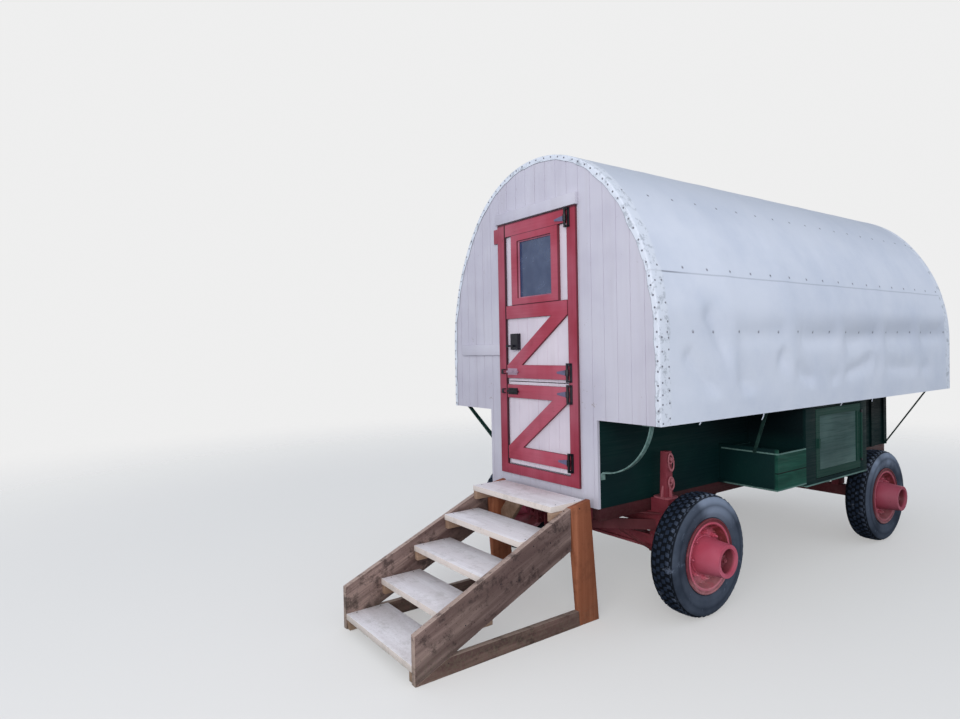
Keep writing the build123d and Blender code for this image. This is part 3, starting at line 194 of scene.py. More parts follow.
def join(pieces, name):
    """Joins pieces to one object."""
    deselect()
    for piece in pieces:
        piece.select_set(True)
    bpy.context.view_layer.objects.active = pieces[0]
    if len(pieces) > 1:
        bpy.ops.object.join()
    pieces[0].name = pieces[0].data.name = name
    return pieces[0]


def remove(piece):
    """Takes away a pattern piece that has been copied."""
    bpy.data.objects.remove(piece)


def dress(piece, body, slot, material, *stands_for):
    """Gives a piece its material and its body, and hides the nodes that it stands for; the slot is not used.
    """
    piece.data.materials.clear()
    piece.data.materials.append(material)
    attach(piece, body)
    if stands_for:
        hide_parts(*stands_for)
    print(piece.name, "faces", len(piece.data.polygons))


# %% [markdown]
# ## Colour and node helpers
# Shaders work in linear light, while a paint card or a picture gives colours from 0 to
# 255. The node helpers keep each material short enough to read: they add a node, fill
# its sockets and hand back the output that the next node needs. That output can be
# added, multiplied or compared like a number, and each such step adds one Math node.

# %% Helpers for colours and nodes
def linear(colour):
    """A plain colour, three numbers from 0 to 255, as the linear values that a shader uses."""
    if not isinstance(colour, tuple) or len(colour) != 3:
        return colour
    return (*[((c / 255 + 0.055) / 1.055) ** 2.4 if c > 10 else c / 3294.6 for c in colour], 1.0)


def arithmetic(operation, swapped=False):
    """A method for Value that adds one Math node."""

    def method(self, *others):
        values = (*others, self) if swapped else (self, *others)
        return maths(operation, *values)

    return method


class Value:
    """A node's output. Arithmetic and comparisons with it add Math nodes to its tree."""

    __add__, __sub__, __mul__ = [arithmetic(kind) for kind in ("ADD", "SUBTRACT", "MULTIPLY")]
    __truediv__, __abs__ = arithmetic("DIVIDE"), arithmetic("ABSOLUTE")
    __gt__, __lt__ = arithmetic("GREATER_THAN"), arithmetic("LESS_THAN")
    __rsub__ = arithmetic("SUBTRACT", swapped=True)

    def __init__(self, socket):
        self.socket = socket
        self.tree = socket.id_data


class Outputs:
    """The outputs of a node, by name or number, each as a Value."""

    def __init__(self, node):
        self.node = node

    def __getitem__(self, key):
        return Value(self.node.outputs[key])


def feed(value, socket):
    """Links a Value to an input, or sets a plain number, colour or vector on it."""
    if isinstance(value, Value):
        value.tree.links.new(value.socket, socket)
    else:
        socket.default_value = value


def put(tree, kind, sockets=None, **settings):
    """Adds a node with its settings and feeds its inputs."""
    made = tree.nodes.new("ShaderNode" + kind)
    for name, value in settings.items():
        setattr(made, name, value)
    for key, value in (sockets or {}).items():
        feed(value, made.inputs[key])
    return Outputs(made)


def maths(operation, *values):
    """One step of arithmetic; at least one of the values comes from a node."""
    tree = next(value.tree for value in values if isinstance(value, Value))
    return put(tree, "Math", dict(enumerate(values)), operation=operation)[0]


def mixed(factor, first, second):
    """Two colours mixed by a factor."""
    sockets = {0: factor, 6: linear(first), 7: linear(second)}
    return put(factor.tree, "Mix", sockets, data_type="RGBA")[2]


def coat(colour, *layers):
    """Colours laid over a colour one by one, each by its own mask."""
    for mask, layer in layers:
        colour = mixed(mask, colour, layer)
    return colour


def blended(factor, first, second):
    """Two numbers mixed by a factor."""
    return put(factor.tree, "Mix", {0: factor, 2: first, 3: second}, data_type="FLOAT")[0]


def ramp(value, low, high, to_low=0.0, to_high=1.0):
    """A value taken from one range to another and held inside it."""
    sockets = dict(enumerate((value, low, high, to_low, to_high)))
    return put(value.tree, "MapRange", sockets, interpolation_type="SMOOTHSTEP")[0]


def xyz(vector):
    """The three numbers of a vector."""
    parts = put(vector.tree, "SeparateXYZ", {0: vector})
    return [parts[number] for number in range(3)]


def clouds(vector, scale, detail=4.0, roughness=0.55, distortion=0.0):
    """A noise texture's value."""
    labels = ("Vector", "Scale", "Detail", "Roughness", "Distortion")
    sockets = dict(zip(labels, (vector, scale, detail, roughness, distortion)))
    return put(vector.tree, "TexNoise", sockets)[0]


def stretched(vector, factors):
    """A vector multiplied axis by axis."""
    return put(vector.tree, "VectorMath", {0: vector, 1: factors}, operation="MULTIPLY")[0]


def new_group(name, numbers, results):
    """A node group: a Vector and named numbers with their defaults go in, numbers come out."""
    tree = bpy.data.node_groups.new(name, "ShaderNodeTree")
    tree.interface.new_socket("Vector", in_out="INPUT", socket_type="NodeSocketVector")
    for label, value in numbers.items():
        socket = tree.interface.new_socket(label, in_out="INPUT", socket_type="NodeSocketFloat")
        socket.default_value = value
    for label in results:
        tree.interface.new_socket(label, in_out="OUTPUT", socket_type="NodeSocketFloat")
    given = Outputs(tree.nodes.new("NodeGroupInput"))
    taken = tree.nodes.new("NodeGroupOutput").inputs
    return tree, given, taken


# %% [markdown]
# ## Grain
# Old boards show two things: fine fibres that run the length of the board, and broader
# bands and knots. Noise that is squeezed across the grain gives both, and the squeezing
# is done on the coordinates, so one group serves boards that lie any way: each material
# turns the coordinates until X runs along its grain.

# %% The grain group
grain_group, given, taken = new_group(
    "board_grain", {"Fineness": 1.0, "Knots": 0.5}, ("Fibre", "Figure", "Height")
)
sockets = {0: given["Vector"], "Scale": given["Fineness"]}
scaled = put(grain_group, "VectorMath", sockets, operation="SCALE")[0]
drift = clouds(scaled, 1.3, 2.0)
fibre = clouds(stretched(scaled, (3.0, 90.0, 90.0)), 1.0, 5.0, 0.65)
sockets = {0: stretched(scaled, (0.9, 11.0, 11.0)), 1: drift}
wavy = put(grain_group, "VectorMath", sockets, operation="ADD")[0]
bands = clouds(wavy, 1.6, 3.0, 0.5, 0.6)
sockets = {"Vector": stretched(scaled, (2.2, 6.5, 6.5)), "Scale": 1.0}
knot = ramp(put(grain_group, "TexVoronoi", sockets)["Distance"], 0.16, 0.05) * given["Knots"]
figure = ramp(bands, 0.3, 0.72) - knot
feed(fibre, taken["Fibre"])
feed(figure, taken["Figure"])
feed(fibre * 0.7 + figure, taken["Height"])
print("group", grain_group.name, "nodes", len(grain_group.nodes))

# %% [markdown]
# ## Wear and dust
# Paint outdoors fades in patches, chips where water gets under it, and collects dust and
# splashed mud near the ground. One group makes the masks for chips, fading and splashes,
# and every painted or bare material mixes its own colours with them.

# %% The weather group
weather_group, given, taken = new_group(
    "weather_masks",
    {"Chipping": 0.3, "Chip size": 40.0, "Splash height": 0.5},
    ("Chips", "Fading", "Dust", "Streaks"),
)
vector = given["Vector"]
patches = clouds(vector, 2.3, 3.0)
chip_noise = clouds(vector, given["Chip size"], 7.0, 0.7, 0.8)
edge = 0.86 - given["Chipping"] * 0.4
low = ramp(xyz(vector)[2], given["Splash height"], 0.0)
dust = low * ramp(clouds(vector, 60.0, 3.0, 0.7), 0.35, 0.7)
streaks = clouds(stretched(vector, (14.0, 14.0, 0.9)), 1.0, 3.0, 0.6)
feed(ramp(chip_noise + patches * 0.25, edge, edge + 0.03), taken["Chips"])
feed(patches, taken["Fading"])
feed(dust + ramp(patches, 0.45, 0.8) * 0.25, taken["Dust"])
feed(ramp(streaks, 0.42, 0.75), taken["Streaks"])
print("group", weather_group.name, "nodes", len(weather_group.nodes))

# %% [markdown]
# ## Weave
# Canvas is plain weave: threads over and under each other. At a few metres it shows only
# as a faint tooth in the light, with broad stains and slightly darker folds. The weave
# follows the cloth's own UV map, which is drawn in metres, so it bends round the top
# with the cloth instead of sliding through it.

# %% The weave group
weave_group, given, taken = new_group(
    "plain_weave", {"Threads": 450.0}, ("Height", "Slub", "Stain")
)
vector = given["Vector"]
sockets = {"Vector": vector, "Scale": given["Threads"], "Distortion": 0.4}
over, under = [put(weave_group, "TexWave", sockets, bands_direction=way)["Fac"] for way in "XY"]
slub_x = clouds(stretched(vector, (6.0, 240.0, 1.0)), 1.0, 2.0)
slub_y = clouds(stretched(vector, (240.0, 6.0, 1.0)), 1.0, 2.0)
feed(over * under, taken["Height"])
feed(slub_x * slub_y, taken["Slub"])
feed(clouds(vector, 1.6, 5.0, 0.6), taken["Stain"])
print("group", weave_group.name, "nodes", len(weave_group.nodes))

# %% [markdown]
# ## The finishes
# Each finish is a Principled shader whose colour, roughness and bump come from the
# groups. Numbers that are the same all over sit on the shader's own sockets.

# %% The start and the end of every finish
def new_finish(name, **constants):
    """A material, its Principled shader and its Object coordinates."""
    material = bpy.data.materials.new(name)
    material.use_nodes = True
    shader = material.node_tree.nodes["Principled BSDF"]
    for key, value in constants.items():
        shader.inputs[key.replace("_", " ")].default_value = value
    return material, shader, put(material.node_tree, "TexCoord")["Object"]


def weathered(place, chipping, chip_size, splash):
    """The weather group's masks."""
    sockets = {"Vector": place, "Chipping": chipping, "Chip size": chip_size}
    sockets["Splash height"] = splash
    return put(place.tree, "Group", sockets, node_tree=weather_group)


def wire(shader, colour, roughness, height=None, strength=0.0, distance=0.0):
    """Feeds the colour, the roughness and a bump, if there is a height, to the shader."""
    feed(colour, shader.inputs["Base Color"])
    feed(roughness, shader.inputs["Roughness"])
    if height:
        sockets = {"Height": height, "Strength": strength, "Distance": distance}
        feed(put(height.tree, "Bump", sockets)[0], shader.inputs["Normal"])


# %% Helpers for boards
def facing(place, axis):
    """How squarely a face looks along an axis, either way: 0 to 1."""
    return abs(xyz(put(place.tree, "TexCoord")["Normal"])[axis])


# Turns that bring each grain direction to X.
grain_slope = 0.432
GRAIN_TURNS = {
    "x": (0.0, 0.0, 0.0),
    "y": (0.0, 0.0, -math.pi / 2),
    "z": (0.0, math.pi / 2, 0.0),
    "slope": (-math.atan(grain_slope), 0.0, -math.pi / 2),
}


def board_grain(place, way, fineness, knots=0.5):
    """The grain group's outputs, for boards that run the given way."""
    turned = put(place.tree, "Mapping", {"Vector": place, "Rotation": GRAIN_TURNS[way]})[0]
    sockets = {"Vector": turned, "Fineness": fineness, "Knots": knots}
    return put(place.tree, "Group", sockets, node_tree=grain_group)


def shade_lines(place, lines):
    """A mask of painted shade along lines: axis number, place on it, reach and lowest height."""
    axes = xyz(place)
    mask = 0.0
    for axis, value, reach, lowest in lines:
        line = ramp(abs(axes[axis] - value), reach, reach * 0.4) * (axes[2] > lowest)
        mask = maths("MAXIMUM", line, mask)
    return mask


# %% Painted boards
def painted_board(
    name, way, paint, pale, under, chipping=0.1, splash=0.4, fibre=0.1, dust=0.4, lines=(), edge=0.0
):
    """Paint on wood: two tones of one colour, chips down to the wood, dust near the ground."""
    material, shader, place = new_finish(name, Specular_IOR_Level=0.22)
    grain = board_grain(place, way, 1.0)
    weather = weathered(place, chipping, 24.0, splash)
    colour = mixed(ramp(weather["Fading"], 0.32, 0.7), paint, pale)
    colour = coat(colour, (grain["Fibre"] * fibre, under), (weather["Streaks"] * 0.12, under))
    if edge:
        # faces that look away from the front are a board's sawn edges, darkened as painted shade
        colour = mixed(ramp(facing(place, 1), 0.75, 0.35, 0.0, edge), colour, under)
    if lines:
        # the lines are darkened as painted shade
        colour = mixed(shade_lines(place, lines) * 0.8, colour, (52, 26, 36))
    colour = coat(colour, (weather["Chips"], under), (weather["Dust"] * dust, (150, 138, 124)))
    relief = grain["Height"] * 0.4 - weather["Chips"]
    wire(shader, colour, ramp(grain["Fibre"], 0.3, 0.7, 0.45, 0.7), relief, 0.35, 0.0012)
    return material


# %% The painted finishes
# paint, faded paint and what shows under it
WHITE = (206, 202, 212), (196, 191, 204), (160, 148, 148)
DOOR_WHITE = (226, 214, 222), (214, 202, 212), (176, 160, 160)
RED = (156, 52, 70), (176, 82, 102), (84, 36, 42)
LEDGE_RED = (172, 62, 80), (192, 94, 114), (92, 38, 44)
GEAR = (110, 36, 46), (142, 54, 68), (56, 29, 27)
SHADED_GEAR = (62, 23, 28), (84, 34, 40), (38, 21, 20)
# painted shade beside the door leaf, under the head board and along the ledges
JAMB_SHADE = (0, -0.322, 0.011, 0.862), (0, 0.322, 0.005, 0.862), (2, 2.606, 0.022, 0.0)
LEDGE_SHADE = [(0, -0.320, 0.008, 0.0)]
LEDGE_SHADE += [(2, z, reach, 0.0) for z, reach in ((2.600, 0.012), (2.505, 0.004), (2.007, 0.004))]
# fibre and dust are wear; the edge share darkens the boards' edges as painted shade
DOOR_WEAR_AND_SHADE = {"fibre": 0.3, "dust": 0.3, "edge": 0.7}

white_wall = painted_board("white_wall_boards", "z", *WHITE, chipping=0.17, dust=0.15)
white_door = painted_board("white_door_boards", "z", *DOOR_WHITE, dust=0.1)
white_trim = painted_board("white_trim_boards", "x", *WHITE, dust=0.15)
red_upright = painted_board("red_upright_boards", "z", *RED, lines=JAMB_SHADE, **DOOR_WEAR_AND_SHADE)
red_level = painted_board("red_level_boards", "x", *LEDGE_RED, lines=LEDGE_SHADE, **DOOR_WEAR_AND_SHADE)
gear_long = painted_board("red_gear_long", "y", *SHADED_GEAR, chipping=0.25, splash=0.8)
gear_cross = painted_board("red_gear_cross", "x", *GEAR, chipping=0.2, splash=0.8)
print("painted finishes ready")

# %% [markdown]
# ## Bare wood
# The steps were never painted. Their treads are bleached nearly white by feet and sun,
# the side boards are grey-brown with dark knots, and the two posts are newer and keep
# their orange. One function makes them all from the grain group, and the wood inside too.

# %% Bare boards
def bare_board(
    name, way, pale, dark, knot, fineness, knots, dust=0.35, side=None, edge=None, specks=0.0
):
    """Unpainted wood: pale and dark bands, darker knots, fine cracks and some dust.

    Side is the number of the axis that the board's broad faces look along; the other
    faces are its edges, which take the edge colour: painted shade on the treads' edges
    and a painted highlight on the side boards' and rails' edges.
    """
    material, shader, place = new_finish(name, Specular_IOR_Level=0.25)
    grain = board_grain(place, way, fineness, knots)
    weather = weathered(place, 0.12, 18.0, 0.25)
    colour = coat(
        mixed(grain["Figure"], dark, pale),
        (ramp(grain["Fibre"], 0.62, 0.3, 0.0, 0.7), dark),
        (ramp(grain["Figure"], 0.0, -0.5), knot),
    )
    if side is not None:
        # painted shade on the treads' edges, painted highlight on the side boards' and rails' edges
        colour = mixed(ramp(facing(place, side), 0.75, 0.4, 0.0, 0.75), colour, edge)
    if specks:
        # mould and bits of grass
        mould = ramp(clouds(place, 9.0, 6.0, 0.75), 0.5, 0.66, 0.0, specks)
        bits = ramp(clouds(place, 120.0, 2.0, 0.6), 0.64, 0.7, 0.0, specks)
        colour = coat(colour, (mould, knot), (bits, knot))
    colour = coat(colour, (weather["Chips"] * 0.5, knot), (weather["Dust"] * dust, (128, 122, 100)))
    wire(shader, colour, ramp(grain["Fibre"], 0.3, 0.7, 0.85, 0.65), grain["Height"], 0.5, 0.0018)
    return material


# grain direction; pale, dark and knot colour; fineness and knots; then what differs
tread_wood = bare_board(
    "bleached_treads", "x", (255, 250, 252), (236, 229, 230), (150, 142, 130), 0.6, 0.4, 0.15,
    side=2, edge=(220, 204, 190), specks=0.25,
)
stringer_wood = bare_board(
    "weathered_stringers", "slope", (170, 144, 134), (98, 76, 72), (44, 33, 33), 0.6, 1.0,
    side=0, edge=(190, 166, 154), specks=0.75,
)
rail_wood = bare_board(
    "weathered_rails", "y", (150, 118, 108), (90, 66, 62), (44, 32, 31), 0.7, 0.8,
    side=0, edge=(168, 146, 134), specks=0.7,
)
post_wood = bare_board(
    "cedar_posts", "z", (184, 116, 84), (142, 82, 56), (92, 50, 36), 0.6, 0.6, 0.2, specks=0.3
)
cleat_wood, bow_wood, bunk_wood, floor_wood = [
    bare_board(*row)
    for row in (
        ("step_cleat_wood", "y", (180, 150, 128), (140, 112, 92), (84, 62, 50), 0.7, 0.5),
        ("bow_wood", "x", (196, 166, 126), (160, 128, 92), (96, 68, 48), 0.8, 0.3, 0.05),
        ("bunk_wood", "y", (190, 158, 118), (152, 120, 84), (96, 68, 48), 0.8, 0.4, 0.05),
        ("floor_wood", "y", (126, 116, 104), (96, 86, 76), (60, 52, 46), 0.8, 0.4, 0.3),
    )
]
print("bare wood finishes ready")

# %% [markdown]
# ## Iron, rubber and glass
# The running gear is brush-painted red over rust, so its chips show a brown iron. The
# door irons are black. The tyres are old rubber, blue-grey in the sky's light, with
# painted shade between the blocks. Glass keeps plain transmission on the shader itself.

# %% Painted and bare iron
def iron_finish(name, paint, pale, under, chipping, rough=0.5, metallic=0.0, worn_places=()):
    """Painted or bare iron, with chips, uneven paint and rust or dust.

    A worn place is a box, as three ranges along X, Y and Z or None, and its own colour.
    """
    material, shader, place = new_finish(name, Metallic=metallic, Specular_IOR_Level=0.3)
    weather = weathered(place, chipping, 30.0, 0.6)
    brushed = clouds(place, 22.0, 5.0, 0.65)
    colour = mixed(ramp(weather["Fading"], 0.35, 0.68), paint, pale)
    for ranges, bare in worn_places:
        inside = ramp(brushed, 0.2, 0.5, 0.4, 1.0)
        for value, limits in zip(xyz(place), ranges):
            if limits:
                inside = (value > limits[0]) * (value < limits[1]) * inside
        colour = mixed(inside, colour, bare)
    colour = coat(
        colour,
        (ramp(brushed, 0.55, 0.8, 0.0, 0.5), under),
        (weather["Chips"], under),
        (weather["Dust"] * 0.35, (150, 128, 116)),
    )
    relief = brushed * 0.5 - weather["Chips"]
    roughness = ramp(brushed, 0.3, 0.7, rough - 0.12, rough + 0.18)
    wire(shader, colour, roughness, relief, 0.4, 0.0012)
    return material


# the hinge straps have worn to bare metal, and so has the upper door's bolt
STRAPS = ((0.16, 0.302), None, None), (104, 98, 128)
UPPER_BOLT = ((-0.32, -0.15), None, (1.47, 1.60)), (170, 140, 158)
WORN = STRAPS, UPPER_BOLT
# paint, faded paint and what shows under it; chipping, roughness, metallic, worn places
red_iron, shaded_iron, black_iron, tack_iron, ring_iron = [
    iron_finish(*row)
    for row in (
        ("red_painted_iron", (124, 44, 54), (156, 68, 80), (74, 36, 30), 0.2),
        ("shaded_red_iron", (86, 29, 36), (110, 44, 52), (54, 28, 24), 0.2),
        ("black_door_iron", (9, 11, 20), (18, 21, 36), (44, 40, 48), 0.1, 0.38, 0.0, WORN),
        ("dull_tacks", (112, 112, 122), (140, 140, 150), (90, 76, 70), 0.1, 0.5, 0.3),
        ("ring_iron", (148, 68, 78), (178, 106, 114), (110, 72, 68), 0.2, 0.45),
    )
]
print("iron finishes ready")

# %% Wheel iron, rubber, glass and the overhang's irons
wheel_low, wheel_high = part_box("wheel_front_right")
front_axle_y = (wheel_low.y + wheel_high.y) / 2
axle_z = (wheel_low.z + wheel_high.z) / 2
rear_axle_y = sum(corner.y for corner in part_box("wheel_rear_right")) / 2
tyre_low, tyre_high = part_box("tyre_front_right")
tyre_x = (tyre_low.x + tyre_high.x) / 2
tyre_radius = tyre_high.z - axle_z


def about_axle(axes):
    """Radius from the nearer axle, and height above it."""
    level = maths("MINIMUM", *[abs(axes[1] - y) for y in (front_axle_y, rear_axle_y)])
    height = axes[2] - axle_z
    return maths("SQRT", level * level + height * height), height


wheel_iron, shader, place = new_finish("red_wheel_iron", Specular_IOR_Level=0.35)
axes = xyz(place)
outward = abs(axes[0])
radius, rise_from_axle = about_axle(axes)
brushed = clouds(place, 22.0, 5.0, 0.65)
weather = weathered(place, 0.12, 30.0, 0.3)
throat = ramp(radius, 0.150, 0.180) * ramp(radius, 0.199, 0.194)
flange = ramp(radius, 0.209, 0.213) * ramp(brushed, 0.2, 0.5, 0.6, 0.9)
mouth_shade = ramp(radius, 0.0785, 0.0765) * ramp(outward, 1.0, 1.012)
lit_low_half = ramp(rise_from_axle, -0.06, -0.16) * ramp(radius, 0.125, 0.14)
colour = coat(
    mixed(ramp(weather["Fading"], 0.35, 0.68), (188, 74, 94), (208, 108, 128)),
    (ramp(brushed, 0.6, 0.8, 0.0, 0.4), (128, 52, 50)),
    (weather["Chips"], (112, 52, 40)),
    # the rim's throat is rusty
    (throat * ramp(brushed, 0.25, 0.55) * 0.85, (104, 46, 34)),
    # the flange outside the lock ring is dull, and the inside of the hub's mouth is darkened as painted
    # shade
    (maths("MAXIMUM", flange, mouth_shade * ramp(outward, 1.083, 1.06, 0.0, 0.85)), (98, 42, 46)),
    # a painted highlight lies in patches on the lower half of the rim
    (lit_low_half * ramp(brushed, 0.3, 0.6, 0.15, 0.6), (206, 140, 146)),
    (weather["Dust"] * 0.3, (190, 140, 136)),
    # the rear wheels are darkened as painted shade, for the shade that the boxes cast
    (ramp(axes[1], 0.5, 1.0, 0.0, 0.34), (88, 30, 38)),
)
relief = brushed - weather["Chips"]
wire(shader, colour, ramp(brushed, 0.3, 0.7, 0.35, 0.6), relief, 0.35, 0.001)

rubber, shader, place = new_finish("dusty_rubber", Specular_IOR_Level=0.12)
scuff = clouds(place, 11.0, 6.0, 0.75, 0.5)
axes = xyz(place)
off_middle = abs(axes[0]) - tyre_x
shoulder = ramp(off_middle, 0.030, 0.072) * ramp(off_middle, 0.0935, 0.0895)
radius, rise_from_axle = about_axle(axes)
# painted light: the tyre's upper part, which faces the sky, is made lighter
lit_top = ramp(rise_from_axle, 0.12, 0.31, 0.25, 1.0)
# the pale shoulder is partly wear and partly painted highlight; the pale specks are dust, kept to the lit
# top
lit_worn_shoulder = shoulder * lit_top * ramp(clouds(place, 3.0, 3.0), 0.34, 0.6, 0.25, 1.0)
on_road = ramp(off_middle, 0.080, 0.074)
speckle = ramp(clouds(place, 46.0, 5.0, 0.8), 0.56, 0.66, 0.0, 0.55)
# the grooves are darkened as painted shade; radii follow the crown's own curve
groove_shade = ramp(radius + off_middle * off_middle * 1.25, 0.3805, 0.3775) * on_road
colour = coat(
    mixed(on_road, (34, 42, 55), (36, 46, 62)),
    (lit_worn_shoulder * 0.9, (142, 153, 172)),
    (speckle * on_road * lit_top, (128, 138, 156)),
    (groove_shade * 0.9, (7, 11, 18)),
    (ramp(scuff, 0.57, 0.68, 0.0, 0.5), (116, 126, 144)),
)
relief = clouds(place, 90.0, 4.0, 0.6)
wire(shader, colour, ramp(scuff, 0.3, 0.7, 0.7, 0.9), relief, 0.4, 0.0012)

glass, shader, place = new_finish("window_glass", Transmission_Weight=0.35, Metallic=0.0, IOR=1.5)
reflection_patches = clouds(place, 7.0, 4.0, 0.6)
# the pane's blue is a painted reflection of the sky, in patches
colour = mixed(ramp(reflection_patches, 0.35, 0.7), (62, 80, 118), (86, 102, 136))
wire(shader, colour, ramp(reflection_patches, 0.3, 0.7, 0.12, 0.3))

# the front right bar is pale, the others are dark
front_reach = 1.6
overhang_iron, shader, place = new_finish("overhang_irons_paint", Specular_IOR_Level=0.4)
brushed = clouds(place, 26.0, 5.0, 0.65)
axes = xyz(place)
front_bar = (axes[0] > 0.0) * (axes[1] < cad_box[0][1] + front_reach)
dark_green = mixed(ramp(brushed, 0.4, 0.7), (16, 44, 40), (34, 70, 62))
pale_green = mixed(ramp(brushed, 0.35, 0.65), (78, 108, 102), (116, 142, 136))
colour = mixed(front_bar, dark_green, pale_green)
wire(shader, colour, ramp(brushed, 0.3, 0.7, 0.4, 0.65), brushed, 0.3, 0.0008)
print("wheel iron, rubber and glass ready")

# %% [markdown]
# ## The cabinet door's two colours
# The doors under the overhang have a green frame round a panel whose green has washed
# out to grey. Both lie in one piece of CAD, so the material tells them apart by place:
# inside the rails it uses the washed colour.

# %% The start and the end of a green finish
def green_boards(name, knots, chipping, specular):
    """The start of a green finish: its material and shader, place, grain and weather."""
    material, shader, place = new_finish(name, Specular_IOR_Level=specular)
    grain = board_grain(place, "y", 1.0, knots)
    return material, shader, place, grain, weathered(place, chipping, 24.0, 0.2)


def wire_green(shader, colour, grain, weather, strength, distance):
    """The end of a green finish: chips, roughness and relief."""
    colour = mixed(weather["Chips"] * 0.4, colour, (92, 100, 90))
    roughness = ramp(grain["Fibre"], 0.3, 0.7, 0.5, 0.75)
    wire(shader, colour, roughness, grain["Height"], strength, distance)


# %% The cabinet door finish
door_low, door_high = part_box("cabinet_door_right")
rail = 0.055
jamb_gap = 0.016
cabinet_green, shader, place, grain, weather = green_boards("cabinet_door_boards", 0.4, 0.15, 0.2)
axes = xyz(place)
inside = 1.0
for value, low_edge, high_edge in (
    (axes[1], door_low.y + rail, door_high.y - rail - jamb_gap),
    (axes[2], door_low.z + rail, door_high.z - rail),
):
    inside = (value > low_edge) * (value < high_edge) * inside
pale_marks = ramp(axes[2], door_low.z + 0.19, door_low.z + 0.06) * weather["Fading"]
washed = coat(
    mixed(ramp(weather["Fading"], 0.3, 0.7), (50, 74, 72), (68, 94, 90)),
    (ramp(grain["Fibre"], 0.5, 0.72, 0.0, 0.7), (34, 54, 52)),
    (pale_marks * 0.8, (104, 128, 122)),
)
frame_green = mixed(weather["Fading"], (16, 50, 44), (28, 68, 58))
wire_green(shader, mixed(inside, frame_green, washed), grain, weather, 0.4, 0.0015)
print("cabinet door finish ready")

# %% [markdown]
# ## The boxes under the overhang
# High under the overhang the green is darkened nearly to black as painted shade, the open
# tray's outer boards are lighter as painted light, and the tray's rim and the lowest edges
# carry painted highlights. Height and distance from the middle are enough to tell these
# apart.

# %% The side box finish
box_low, box_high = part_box("side_box_right")
tray_top, tray_bottom, tray_end = 0.940, 0.684, 0.165
board_gap_z = (tray_top + tray_bottom) / 2 - 0.006
box_green, shader, place, grain, weather = green_boards("side_box_boards", 0.3, 0.12, 0.12)
axes = xyz(place)
outward = abs(axes[0])
in_tray = axes[1] < tray_end
outermost = ramp(outward, box_high.x - 0.03, box_high.x - 0.01)
# painted light: the tray's outermost boards are lighter than the rest of the box
lit_outer_face = outermost * in_tray
high_up = ramp(axes[2], tray_top - 0.03, tray_top + 0.13)
# painted shade high under the overhang, less on the outermost boards
overhang_shade = high_up * ramp(axes[1], box_low.y - 0.25, box_low.y + 0.1) * (1.0 - outermost * 0.6)
board_gap = ramp(abs(axes[2] - board_gap_z), 0.005, 0.003)
# painted highlights on the edges: the tray's rim, and the lowest edge all along
rim = ramp(abs(axes[2] - (tray_top - 0.001)), 0.006, 0.004) * in_tray
rim = rim * ramp(outward, box_low.x + 0.016, box_low.x + 0.024)
foot_height = axes[2] - blended(in_tray, box_low.z, tray_bottom)
foot = ramp(foot_height, 0.014, 0.008) * ramp(outward, 0.58, 0.62)
pale_marks = maths("MAXIMUM", rim, foot) * ramp(grain["Fibre"], 0.3, 0.6, 0.35, 0.9)
colour = coat(
    mixed(ramp(weather["Fading"], 0.32, 0.7), (6, 33, 35), (9, 43, 41)),
    (lit_outer_face, mixed(grain["Figure"], (16, 60, 50), (31, 80, 67))),
    (overhang_shade * 0.8, (6, 15, 20)),
    (board_gap * lit_outer_face, (6, 18, 18)),
    (pale_marks, (112, 142, 134)),
)
wire_green(shader, colour, grain, weather, 0.35, 0.0014)
print("side box finish ready")

# %% [markdown]
# ## Boards with worn edges
# A sawn board never has a knife edge. Each CAD node in the table below is copied, its
# loose triangles are welded back to clean faces, and a Bevel modifier rounds its edges.
# The copy keeps the form of the part and takes its place. A round part needs no such
# copy, and keeps its own mesh.

# %% A copy with rounded edges
def soften(node, name, width, slot, material):
    """A copy of a CAD node with welded faces and rounded edges, standing for the node."""
    source = nodes[node]
    piece = bpy.data.objects.new(name, source.data.copy())
    piece.data.name = name
    bpy.context.scene.collection.objects.link(piece)
    activate(piece)
    if piece.data.has_custom_normals:
        bpy.ops.mesh.customdata_custom_splitnormals_clear()
    open_edit(piece, "FACE")
    bpy.ops.mesh.remove_doubles(threshold=0.00002)
    bpy.ops.mesh.dissolve_limited(angle_limit=math.radians(1.0))
    close_edit()
    bevel(piece, width, 2, 40)
    smooth(piece, 30)
    dress(piece, source["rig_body"], slot, material, node)
    return piece


# %% The boards and timbers
# node, new piece, edge radius in metres, slot, finish
BOARDS = (
    ("step_treads", "tread_boards", 0.005, "grey_wood", tread_wood),
    ("step_stringers", "stringer_boards", 0.004, "grey_wood", stringer_wood),
    ("step_rails", "rail_boards", 0.004, "grey_wood", rail_wood),
    ("step_posts", "post_boards", 0.004, "bare_wood", post_wood),
    ("step_cleats", "cleat_boards", 0.003, "grey_wood", cleat_wood),
    ("door_frame", "frame_boards", 0.0025, "red_paint", red_upright),
    ("wall_trim", "trim_boards", 0.003, "white_paint", white_trim),
    ("lower_ledges", "lower_ledge_boards", 0.0025, "red_paint", red_level),
    ("upper_ledges", "upper_ledge_boards", 0.0025, "red_paint", red_level),
    ("rear_window_frame", "rear_window_boards", 0.0025, "red_paint", red_level),
    ("side_box_right", "box_boards_right", 0.003, "green_paint", box_green),
    ("side_box_left", "box_boards_left", 0.003, "green_paint", box_green),
    ("sills", "sill_timbers", 0.005, "red_paint", gear_long),
    ("joists", "joist_timbers", 0.004, "red_paint", gear_cross),
    ("reach", "reach_timber", 0.005, "red_paint", gear_long),
    ("front_bolster", "front_bolster_timber", 0.005, "red_paint", gear_cross),
    ("rear_bolster", "rear_bolster_timber", 0.005, "red_paint", gear_cross),
    ("bunk", "bunk_boards", 0.004, "bare_wood", bunk_wood),
)
for node, name, width, slot, material in BOARDS:
    soften(node, name, width, slot, material)


# %% [markdown]
# ## Parts that keep their CAD shape
# Round iron, the thin door leaves and the walls are right as they are. They only get a
# finish, in the material slot that each object already has.

